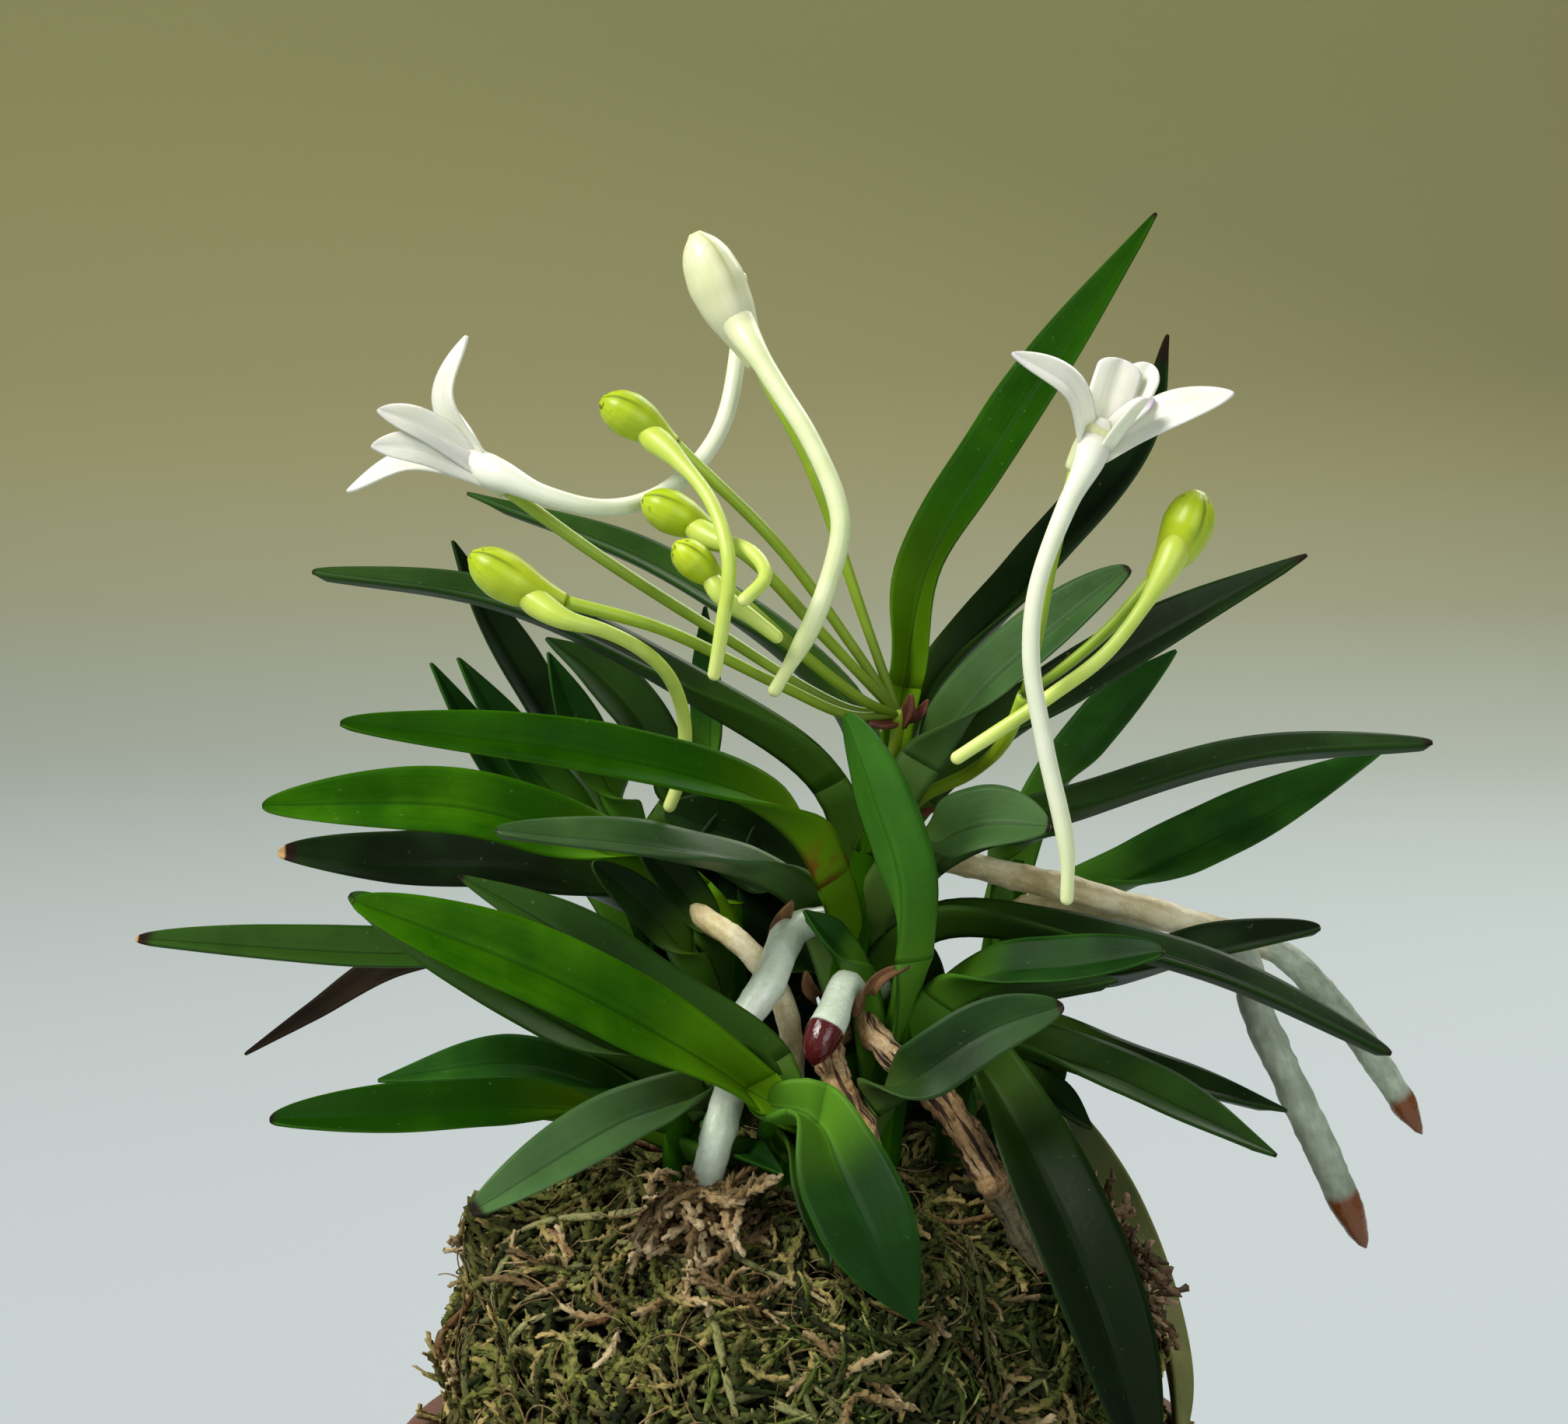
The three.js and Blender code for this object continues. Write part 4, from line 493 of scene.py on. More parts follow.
# Leaves: name, stem, share of the stem at which it leaves, width in mm, tone, face and path. The
# small ones are in one piece with their stem.
LEAVES = [
    ("main_left_1", "main", 0.8, 5.2, "old", (0.3, -0.45, 0.8),
     [(5.2, 2.8, 40.5), (1.5, 6, 45.3), (-13.5, 13, 55), (-32.4, 17, 62)]),
    ("main_left_2", "main", 0.68, 5.6, "old", (0.1, -0.35, 1),
     [(2.4, -0.8, 36), (-9.3, -3.5, 44.8), (-27, -4, 53.4), (-45, -2, 56.2)]),
    ("main_left_3", "main", 0.5, 6.2, "young", (0, -0.75, 0.75),
     [(2.2, -6, 28.1), (-2.1, -13.5, 35.7), (-15.6, -22, 41.6), (-39.7, -25, 45.4)]),
    # this leaf takes a lighter, greyer copy of the old finish: painted sheen of its lit upper side
    ("main_left_4", "main", 0.42, 6, "lit_old", (0, -0.45, 0.9),
     [(0.6, 1, 24), (-3.8, -4, 28.4), (-12.6, -13, 32.2), (-27.2, -17, 34.6)]),
    ("main_right_1", "main", 0.86, 6.8, "young", (-0.6, -0.8, 0.3),
     [(9.6, 2, 44.8), (12.1, 5.5, 55.9), (19.8, 9, 68.4), (33.5, 11, 88.9)]),
    ("main_right_2", "main", 0.78, 6.4, "old", (-0.6, -0.7, 0.5),
     [(11.6, 4.5, 42.6), (22.4, 10, 54.8), (33.2, 15, 67.6), (35.3, 16, 77.3)]),
    ("main_right_3", "main", 0.72, 6.6, "grey", (-0.35, -0.75, 0.7),
     [(11.6, -4.4, 38.6), (16.5, -5.4, 45.4), (23.9, -5.6, 52), (29.8, -6, 56.9)]),
    ("main_right_4", "main", 0.64, 7, "old", (-0.3, -0.6, 0.75),
     [(11.8, 3.5, 34), (23.6, 6, 42.8), (34.8, 8, 49.3), (48, 8, 56.8)]),
    ("main_right_5", "main", 0.56, 7.4, "grey", (0, -0.8, 0.6),
     [(11.2, -5.2, 30), (16.3, -9, 33.6), (22.4, -11.6, 34)]),
    ("main_right_6", "main", 0.48, 6.2, "old", (-0.1, -0.2, 1),
     [(12.4, 3, 27.8), (27.3, 4, 33.4), (41.9, 4, 37.8), (59.3, 2, 39.7)]),
    ("main_right_7", "main", 0.36, 5.8, "old", (0.1, -0.25, 1),
     [(11.4, -2, 22.4), (22.9, -6, 23.1), (37.1, -8, 20), (54.4, -8, 12.2)]),
    ("front_1", "front", 0.62, 6.2, "fresh", (0.3, 0.9, 0.2),
     [(9.4, -12.6, 22), (9.2, -14.4, 29.6), (6.5, -14.7, 38), (4.1, -13, 44.5)]),
    ("front_2", "front", 0.5, 6.2, "fresh", (0, -0.6, 0.8),
     [(13.2, -10.2, 17.4), (17.4, -13.6, 20.8), (24.1, -17.5, 22.4), (31.9, -20, 24.3)]),
    ("front_3", "front", 0.42, 6.4, "grey", (0.1, -0.85, 0.5),
     [(6.8, -13.6, 9), (10.6, -17.4, 12.4), (16.8, -19.4, 17), (23.1, -20, 19.4)]),
    ("low_1", "low", 0.86, 8, "young", (-0.1, -0.8, 0.6),
     [(-5, -19.3, 11.6), (-10.4, -24, 16.4), (-22, -30.5, 24.4), (-37.8, -33.5, 31.5)]),
    ("low_2", "low", 0.6, 7, "old", (0.1, -0.75, 0.65),
     [(-3.4, -14.8, 12.3), (-13, -18.5, 19.6), (-22.5, -22, 27.2), (-30, -22, 31.5)]),
    ("low_3", "low", 0.9, 9.2, "fresh", (-0.1, -0.9, 0.45),
     [(1.4, -22, 9.2), (3.4, -27, 6.4), (6.5, -32, 1), (9.7, -33.4, -5.3)]),
    ("low_4", "left_low", 0.82, 6.3, "grey", (0, -0.75, 0.7),
     [(-8.6, -10.5, 8.8), (-12.7, -17.6, 9.4), (-17, -24, 9.2), (-28.6, -30, 3.4)]),
    ("left_1", "left", 0.78, 7.4, "young", (0.1, -0.85, 0.55),
     [(-10.8, 2.5, 24.6), (-20, 0, 30), (-31.1, -2, 34), (-50.1, -2, 34.3)]),
    ("left_2", "left", 0.6, 7.6, "old", (0, -0.7, 0.7),
     [(-10.6, 5.4, 20), (-24.5, 6, 26.4), (-39.3, 6, 27.2), (-49.6, 4, 28.8)]),
    ("left_3", "left", 0.42, 5.6, "old", (0, -0.58, 0.8),
     [(-11, 3, 14), (-24.3, 2, 18.8), (-42.4, 0, 19.9), (-62.2, -2, 21.7)]),
    ("left_4", "left", 0.3, 4.2, "bronze", (0, -0.7, 0.7),
     [(-12, 7.5, 10.5), (-25, 11, 18), (-38.7, 12.4, 16.4), (-47.9, 13, 11.1), (-54.7, 13, 7)]),
    ("left_low_1", "left_low", 0.88, 6.6, "old", (0, -0.7, 0.7),
     [(-13, -10.4, 10.6), (-20, -15.5, 15.6), (-30.4, -19.5, 23), (-39.8, -20, 29.4)]),
    ("left_low_2", "left_low", 0.75, 5.6, "fresh", (0, -0.6, 0.8),
     [(-15, -8.6, 7), (-19, -13, 10.6), (-25.5, -17, 13.4), (-37.6, -20, 12.7)]),
    ("left_low_3", "left_low", 0.62, 6.8, "young", (0, -0.6, 0.85),
     [(-15.6, -4.4, 4.6), (-24.4, -9, 7.2), (-37.6, -12, 7.3), (-48.5, -12, 7)]),
    ("back_left_1", "back_left", 0.75, 5.6, "old", (0.6, -0.7, 0.3),
     [(-19, 19, 29), (-26.2, 22, 40.9), (-31.5, 22, 50.2), (-34.1, 20, 57)]),
    ("back_left_2", "back_left", 0.82, 6.4, "old", (0.4, -0.7, 0.5),
     [(-12.6, 15.4, 31.4), (-15.4, 15.2, 39), (-20.2, 15.4, 44.5), (-24.7, 15, 48)]),
    ("back_right_1", "back_right", 0.8, 6, "fresh", (-0.5, -0.7, 0.4),
     [(23.2, 16, 30), (30, 18, 39), (37.1, 20, 46.2)]),
    ("back_right_2", "back_right", 0.5, 7.6, "fresh", (-0.2, -0.7, 0.65),
     [(24.4, 18.4, 19.2), (34.3, 20.5, 23.7), (47.6, 22, 29.9), (58.5, 22, 36.2)]),
    ("back_right_3", "back_right", 0.34, 6, "old", (0, -0.4, 0.9),
     [(24.6, 15.5, 13.6), (30.5, 8, 16.2), (37.5, 3.2, 19.3), (49.3, 3, 21.8)]),
    ("right_1", "right", 0.9, 6.2, "old", (0.2, -0.5, 0.8),
     [(18.4, -5.4, 12), (26.7, -7, 10.5), (35.9, -8.5, 6.7), (43.9, -9, 2.8)]),
    ("right_2", "right", 0.8, 9, "old", (0.3, -0.9, 0.35),
     [(15.8, -7.8, 11.2), (20.6, -16.4, 4.8), (26, -24.4, -6.4), (30.7, -26.4, -21.4)]),
    ("right_3", "right", 0.7, 6.6, "tired", (0.8, -0.45, 0.35),
     [(19, 4.4, 5.4), (24, 11.5, 1.2), (31.8, 16, -9.6), (36.2, 5, -21.5), (36.4, -2, -26.6)]),
    ("front_small", "front", 0.4, 4, "small", (0.3, -0.6, 0.8),
     [(5.2, -9.6, 20), (2.8, -11, 23.4), (0.3, -11.5, 26.3)]),
    ("front_under", "front", 0.36, 5, "small", (0.1, -0.3, 1),
     [(12.4, -6.4, 15.2), (19.4, -7.6, 17.4), (28.8, -10, 19.6)]),
    ("low_under", "low", 0.7, 5, "small", (0, -0.9, 0.5),
     [(-0.4, -19.6, 6.4), (1.6, -24, 3.4), (2.4, -28.6, -1.6)]),
    ("left_low_small", "left_low", 0.6, 3.4, "small", (0, -0.7, 0.7),
     [(-8.8, -10.5, 3.4), (-5.6, -15, 4.6), (-4, -19.6, 5.6), (-1.7, -23, 5)]),
    ("left_inner_1", "left", 0.5, 4.6, "small", (0.5, -0.8, 0.2),
     [(-10, -1.6, 18.4), (-14, -4.8, 24.6), (-19, -8, 30)]),
    ("left_inner_2", "left", 0.56, 4.6, "small", (0.5, -0.8, 0.2),
     [(-8.4, 0.4, 20), (-11, -2, 26), (-15, -4.4, 31)]),
    ("back_left_3", "back_left", 0.55, 4.6, "small", (0.5, -0.7, 0.3),
     [(-20.4, 15.5, 24), (-29.5, 14, 35), (-35.6, 12, 45.9)]),
    ("back_left_4", "back_left", 0.66, 5.4, "small", (0.5, -0.7, 0.3),
     [(-18.6, 13, 26.6), (-26.4, 10.5, 36.4), (-32.6, 8, 46.9)]),
    ("back_left_5", "back_left", 0.72, 5.2, "small", (0.4, -0.8, 0.2),
     [(-17, 12.4, 30), (-20.6, 9.5, 38), (-24, 8, 47.4)]),
    ("back_left_6", "back_left", 0.9, 4.2, "small", (-0.5, -0.7, 0.3),
     [(-9.6, 18, 31), (-8.8, 17.4, 39.3), (-9.4, 17, 50.8)]),
    ("back_right_4", "back_right", 0.66, 5, "small", (-0.3, -0.5, 0.8),
     [(19.6, 11.4, 27.4), (22.6, 7.6, 30.2), (25.6, 5, 31)]),
    ("right_small", "right", 0.74, 4.4, "small", (0.3, -0.5, 0.8),
     [(18.6, -0.6, 8), (23, -0.5, 6.6), (27.6, -1, 3.2)]),
    ("right_back", "right", 0.8, 5.2, "small", (0.1, -0.4, 1),
     [(18.6, 1.4, 12), (35.1, 3.5, 6.9), (46.4, 2, 4.2)]),
]
STEM_TIP_SHARE = 0.6
SEAM_FOLD = 56  # degrees that each half of a leaf stands up where the blade leaves its sheath
BLADE_FOLD = 23  # and further out
SHEATH_FOLD = 74  # and where the sheath clasps the stem
SEAM_NARROWING = 0.85
FOOT_NARROWING = 0.9
OPENS_BY = 0.42  # share of a blade's length by which it is open and turned to its face
TIP_FROM = 0.55
TIP_ROUNDNESS = 2.3
BLUNT_TAPER = 0.26  # how much a blunt leaf narrows towards its end
POINTED_TAPER = 0.75
MARGIN = 0.00042  # thickness of a leaf at its margin
KEEL = 0.0015  # and along its fold
LEAF_COLUMNS = 24
BLADE_ROWS = 56
SHEATH_ROWS = 6
SHEATH_FILL = 0.72  # how far the bottom of a sheath's fold is raised at the stem
RIPPLE = 0.018  # share of its width by which a leaf's margin waves
FOLD_WAVE = 3  # degrees by which its fold changes along it
THINNER_KEEL = 0.6  # share of the keel's thickness that is left at the tip
ROWS_TO_TIP = 1.5  # more than 1: the rings stand closer together towards the tip
STEM_ROWS = 12
STEM_SIDES = 20
LEAF_SHADES = {
    # deep, middle and light shade, the shade at the foot of the blade, and how much it shines
    "young": ("#133800", "#215000", "#3f7405", "#719c12", 0.04),
    "fresh": ("#11300a", "#1d470e", "#386d1a", "#578720", 0.08),
    "old": ("#0c1a06", "#17300a", "#2b4c14", "#436716", 0.09),
    "grey": ("#192f13", "#2a4a1e", "#456636", "#567528", 0.14),
    "tired": ("#3b431b", "#5f6330", "#89884c", "#26330f", 0.15),
    "bronze": ("#120d07", "#22190f", "#3a2a1a", "#2a3012", 0.06),
    # the old finish made lighter and greyer, as painted sheen on a lit upper side
    "lit_old": ("#22381c", "#38582a", "#587a48", "#5d8030", 0.15),
}
LEAF_SLOTS = {"bronze": "leaf_old", "lit_old": "leaf_old"}
FLECK = "#a9b283"
SCORCHED = "#85531f"
DEAD = "#21160d"
STRAW = "#c09a68"
ROUTE_STEPS = 40  # points of a smooth curve from one chosen point to the next
NEARBY = 0.004  # share of a route over which its direction is taken


def route(points):
    """A smooth curve through points in mm from the crown, as a close row of points in metres."""
    p = [Vector(point) * 0.001 + CROWN for point in points]
    ends = [p[0] * 2 - p[1], *p, p[-1] * 2 - p[-2]]
    line = []
    for a, b, c, d in zip(ends, ends[1:], ends[2:], ends[3:]):
        before, span, after = [math.sqrt(gap.length) for gap in (b - a, c - b, d - c)]
        leave = ((b - a) / before - (c - a) / (before + span) + (c - b) / span) * span
        reach = ((c - b) / span - (d - b) / (span + after) + (d - c) / after) * span
        for t in np.linspace(0, 1, ROUTE_STEPS, endpoint=False):
            curve = (c - b) * 3 - leave * 2 - reach
            line.append(b + leave * t + curve * t**2 + ((b - c) * 2 + leave + reach) * t**3)
    return np.array(line + [p[-1]])


def length(line):
    return float(np.linalg.norm(np.diff(line, axis=0), axis=1).sum())


def run_of(line):
    """Share of a route's length at each of its points."""
    run = np.concatenate([[0], np.cumsum(np.linalg.norm(np.diff(line, axis=0), axis=1))])
    return run / run[-1]


def even(count):
    """Shares from 0 to 1 in even steps."""
    return [i / count for i in range(count + 1)]


def spots(line, shares):
    """Points and directions on a route at shares of its length."""
    run = run_of(line)
    around = [np.clip(np.asarray(shares) + step, 0, 1) for step in (0, -NEARBY, NEARBY)]
    here, back, ahead = [np.stack([np.interp(at, run, line[:, k]) for k in range(3)], 1) for at in around]
    return [Vector(p) for p in here], [Vector(d).normalized() for d in ahead - back]


def soft(x):
    x = min(1, max(0, x))
    return x * x * (3 - 2 * x)


def blend(a, b, share):
    return a + (b - a) * share


def folded_ring(centre, ahead, face, half, fold, keel, filled=0.0, arch=0.1):
    """Ring round a leaf that is folded along its middle: over the upper side from one margin to the
    other, and back below. filled raises the bottom of the fold, arch rounds its two halves."""
    up = (face - ahead * face.dot(ahead)).normalized()
    across = up.cross(ahead)
    ring = []
    for j in range(LEAF_COLUMNS):
        below = j > LEAF_COLUMNS / 2
        k = (3 if below else -1) + j * 4 / LEAF_COLUMNS * (-1 if below else 1)
        out = abs(k)
        rise = (math.sqrt(k * k + 0.004) - 0.063) / 0.939
        thick = blend(keel, MARGIN, out**0.8) * math.sqrt(max(0, 1 - out**6)) if below else 0
        high = half * math.sin(fold) * (rise if below else blend(filled, 1, rise))
        high += half * arch * out * (1 - out) - thick * blend(1, math.cos(fold), out)
        ring.append(centre + across * (k * (half * math.cos(fold) + thick * math.sin(fold))) + up * high)
    return ring


def leaf_rings(stem, start, width, face, path, taper):
    """Rings of a leaf's sheath, from the stem to the seam, and of its blade, from there to the tip."""
    (foot,), (apical,) = spots(route(STEMS[stem][1]), [start])
    line = route([(foot - CROWN) * 1000, *path])
    seam = run_of(line)[ROUTE_STEPS]
    width *= 0.001
    looks = Vector(face).normalized()
    sheath, blade = [], []
    shares = even(SHEATH_ROWS)
    for t, centre, ahead in zip(shares, *spots(line, [seam * t for t in shares])):
        half = width / 2 * blend(FOOT_NARROWING, SEAM_NARROWING, t)
        fold = math.radians(blend(SHEATH_FOLD, SEAM_FOLD, t))
        sheath.append(folded_ring(centre, ahead, apical, half, fold, KEEL, SHEATH_FILL * (1 - t * t)))
    shares = [1 - (1 - t) ** ROWS_TO_TIP for t in even(BLADE_ROWS)]
    for s, centre, ahead in zip(shares, *spots(line, [blend(seam, 1, s) for s in shares])):
        opened = soft(s / OPENS_BY)
        closing = max(0, (s - TIP_FROM) / (1 - TIP_FROM))
        ripple = 1 + RIPPLE * noise.noise(centre * 160)
        rounded = math.sqrt(max(0.002, 1 - closing**TIP_ROUNDNESS))
        half = width / 2 * blend(SEAM_NARROWING, 1, opened) * rounded * ripple
        half *= 1 - taper * closing**1.6
        fold = math.radians(blend(SEAM_FOLD, BLADE_FOLD, opened) + FOLD_WAVE * noise.noise(centre * 70))
        keel = min(KEEL * blend(1, THINNER_KEEL, s), half * 1.2)
        blade.append(folded_ring(centre, ahead, apical.lerp(looks, opened), half, fold, keel))
    return sheath, blade


def patterned():
    """An empty shape whose faces will carry the pattern map that the plant's finishes read."""
    bm = bmesh.new()
    bm.loops.layers.uv.new("grain")
    return bm


def skin(name, lofts, material, slot, *nodes):
    """A finished piece of one material from the rings of its lofts."""
    bm = patterned()
    for rings in lofts:
        loft(bm, rings)
    return keep(name, bm, [material], slot, *nodes)


def mark(piece, values):
    """The same three values at every point of a piece, for its material."""
    marks = piece.data.attributes.new("own", "FLOAT_VECTOR", "POINT")
    marks.data.foreach_set("vector", list(values) * len(piece.data.vertices))


def leaf_finish(name, tone):
    """Waxy leaf: streaks along it, a dark groove, pale margins that are partly a painted highlight, flecks,
    and the marks of its age. Its own attribute holds its tint, how yellow its foot is and how far its tip is
    dead."""
    deep, middle, light, foot, shine = LEAF_SHADES[tone]
    material, surface, place = new_finish(name, Specular_IOR_Level=shine)
    uv = node(place.tree, "UVMap", "UV", uv_map="grain")
    across, along, _ = parts(uv)
    tint, yellow, dead = parts(node(place.tree, "Attribute", "Vector", attribute_name="own"))
    out = (across.by("PINGPONG", 0.5) * 4 - 1).by("ABSOLUTE")
    cloud = grain(place, 110, 4)
    streak = grain(uv, 1, 3, (40, 3, 1))
    fleck = grain(place, 1500, 2)
    green = shades(cloud * 0.8 + streak * 0.14 + tint * 0.3, (0.35, 0.62, 0.9), (deep, middle, light))
    near_foot = remap(along, 0.75 if tone == "tired" else 0.3, -0.1) * (yellow + 0.6)
    green = over(near_foot.by("MINIMUM", 1), green, foot)
    groove = remap(out, 0.09, 0.0)
    green = over(groove * 0.55, green, deep)
    green = over(remap(across, 0.5, 0.505) * 0.3, green, light)
    # paler along the margins: partly the edge's own colour, partly a painted highlight
    green = over(remap(out + cloud * 0.04, 0.93, 1.0) * 0.3, green, light)
    green = over(remap(fleck, 0.7, 0.8, 0, 0.14), green, FLECK)
    scorch = remap(yellow, 0.55, 1) * remap(grain(place, 260, 5), 0.46, 0.6)
    scorch = scorch * remap(along, 0.1, 0.02) * remap(along, -0.06, 0.0)
    green = over((scorch * 2.5).by("MINIMUM", 0.9), green, SCORCHED)
    tip = along + cloud * 0.12 + dead.by("ABSOLUTE") * 0.2 - 1.08
    green = over(remap(tip, -0.04, 0.01), green, DEAD)
    green = over(remap(tip, 0.035, 0.05) * remap(dead, 0.0, 0.01), green, STRAW)
    plug(surface.inputs["Base Color"], green)
    plug(surface.inputs["Roughness"], remap(cloud, 0.3, 0.7, 0.42, 0.58))
    relief(surface, streak * 0.2 + fleck * 0.3 - groove * 0.8, 0.35, 0.00018)
    return material


# small leaves in the shade of others, which take the dark old finish as painted shade
SHADED = ("front_under", "right_small", "right_back", "low_under", "left_inner_1", "left_inner_2")
INNER_LEAVES = [
    # old short leaves deep in the clump, whose dark old finish is partly painted shade: stem, where they
    # leave it, width, face, path
    ("left", 0.1, 9, (0.5, -0.9, 0.1), [(-5, 6, 4), (-3.6, 8, 13), (-4.8, 9, 24)]),
    ("main", 0.2, 9.5, (0, -1, 0.1), [(3, 6, 14), (-0.6, 8, 20), (-3.4, 8.6, 31.4)]),
    ("main", 0.36, 9, (0, -1, 0.3), [(2.4, 5, 22), (-3.6, 8, 28), (-13, 9, 32)]),
    ("left", 0.4, 8, (0.2, -1, 0.2), [(-7.6, 8, 16), (-8, 9.4, 24.6), (-5.6, 9.6, 33)]),
    ("left", 0.16, 7.4, (0.1, -0.9, 0.2), [(-9, 7, 6), (-10.4, 10, 15), (-13, 12.5, 25)]),
    ("left", 0.2, 6.6, (-0.2, -0.9, 0.3), [(-11, 5, 6), (-17, 8, 12), (-24, 10, 19)]),
    ("main", 0.08, 7, (0.1, -1, 0.1), [(1, 6, 0), (-1, 9, 9), (-1.6, 10, 18)]),
    ("main", 0.14, 7, (-0.2, -1, 0.1), [(6.4, 5, 3), (8.6, 8, 12), (10, 9.4, 21)]),
    ("back_right", 0.1, 7, (0, -1, 0.3), [(12, 12, 0), (11.4, 12, 10), (12.6, 12, 18)]),
    ("right", 0.15, 6, (0.2, -1, 0.2), [(17, 2, 0), (20.6, 2, 5), (25, 2, 10)]),
    ("back_left", 0.12, 7, (-0.1, -1, 0.2), [(-14, 12, 0), (-18, 11, 8), (-21, 11, 17)]),
    ("back_left", 0.2, 7.4, (0.3, -1, 0.1), [(-10, 13, 4), (-6, 13.5, 14), (-5, 14, 25)]),
]
TONES = list(LEAF_SHADES)
LEAF_FINISHES = {tone: leaf_finish(tone + " leaf", tone) for tone in TONES}
for stem, (radius, axis) in STEMS.items():
    bm = patterned()
    shares = even(STEM_ROWS)
    centres, ahead = spots(route(axis), shares)
    radii = [radius * 0.001 * blend(1, STEM_TIP_SHARE, soft(4 * t - 3)) for t in shares]
    loft(bm, round_rings(centres, ahead, radii, STEM_SIDES))
    for leaf, on, start, width, tone, face, path in LEAVES:
        if on == stem:
            taper = BLUNT_TAPER if "inner" in leaf else POINTED_TAPER
            sheath, blade = leaf_rings(stem, start, width, face, path, taper)
            if tone == "small":
                # painted shade: a small leaf in the shade of others takes the dark old finish
                small_tone = TONES.index("old" if leaf in SHADED else "fresh")
                loft(bm, sheath + blade[1:], small_tone, (-0.3, 1))
            else:
                loft(bm, sheath, TONES.index(tone), (-0.5, 0))
    for on, start, width, face, path in INNER_LEAVES:
        if on == stem:
            sheath, blade = leaf_rings(stem, start, width, face, path, BLUNT_TAPER)
            # the dark old finish of the inner leaves also stands as painted shade deep in the clump
            loft(bm, sheath + blade[1:], TONES.index("old"), (0.3, 0.95))
    piece = keep(stem + "_growth", bm, list(LEAF_FINISHES.values()), "stem", "stem_" + stem)
    mark(piece, (0.25, 0.2, -0.05))

# Leaf blades: thick, waxy and folded along the middle like a keel. Each is joined to its sheath at a
# fine seam, arches outwards and ends in a blunt or a pointed tip. Old ones are dark, with scars.
LEAF_MARKS = {
    # its tint, how yellow and scorched the foot is, how far the tip is dead (less than 0: no dry end)
    "main_left_1": (1.1, 0.1, -0.1), "main_left_2": (0.7, 0.5, -0.1), "main_left_3": (-0.1, 0.75, -0.1),
    "main_left_4": (0.7, 0.1, -0.2), "main_right_1": (0.0, 0.0, -0.25), "main_right_2": (0.0, 0.1, -0.75),
    "main_right_3": (0.8, 0.1, -0.35), "main_right_4": (-0.3, 0.1, -0.4), "main_right_5": (1.3, 0.1, -0.3),
    "main_right_6": (0.6, 0.1, -0.35), "main_right_7": (0.0, 0.0, -0.3), "front_1": (1.5, 0.4, -0.1),
    "front_2": (-0.3, 0.6, -0.3), "front_3": (-0.1, 0.0, -0.4), "low_1": (0.9, 0.0, -0.1),
    "low_2": (1.4, 0.0, -0.35), "low_3": (-0.6, 0.5, 0.0), "low_4": (1.3, 0.3, -0.45),
    "left_1": (0.5, 0.2, -0.1), "left_2": (-0.3, 0.1, 0.55), "left_3": (1.6, 0.0, 0.45),
    "left_4": (0.3, 0.0, -0.2), "left_low_1": (1.7, 0.0, -0.1), "left_low_2": (0.4, 0.0, 0.0),
    "left_low_3": (-0.6, 0.1, -0.35), "right_1": (1.2, 0.0, -0.3), "right_2": (-0.5, 0.0, -0.1),
    "right_3": (0.5, 0.5, 0.0), "back_right_2": (0.8, 0.0, -0.1), "back_right_3": (-0.2, 0.0, -0.1),
}
POINTED = (
    "main_right_1", "main_right_2", "main_right_4", "back_left_1", "back_left_2", "back_right_1",
    "back_right_2", "low_2", "low_3", "left_4", "left_low_2", "main_left_1", "right_1",
)
chance = random.Random(3)
for leaf, stem, start, width, tone, face, path in LEAVES:
    if tone == "small":
        continue
    taper = POINTED_TAPER if leaf in POINTED else BLUNT_TAPER
    _, blade = leaf_rings(stem, start, width, face, path, taper)
    slot = LEAF_SLOTS.get(tone, "leaf_" + tone)
    piece = skin("blade_" + leaf, [blade], LEAF_FINISHES[tone], slot, "leaf_" + leaf)
    mark(piece, LEAF_MARKS.get(leaf, (chance.uniform(0.1, 0.7), 0.0, -0.1)))

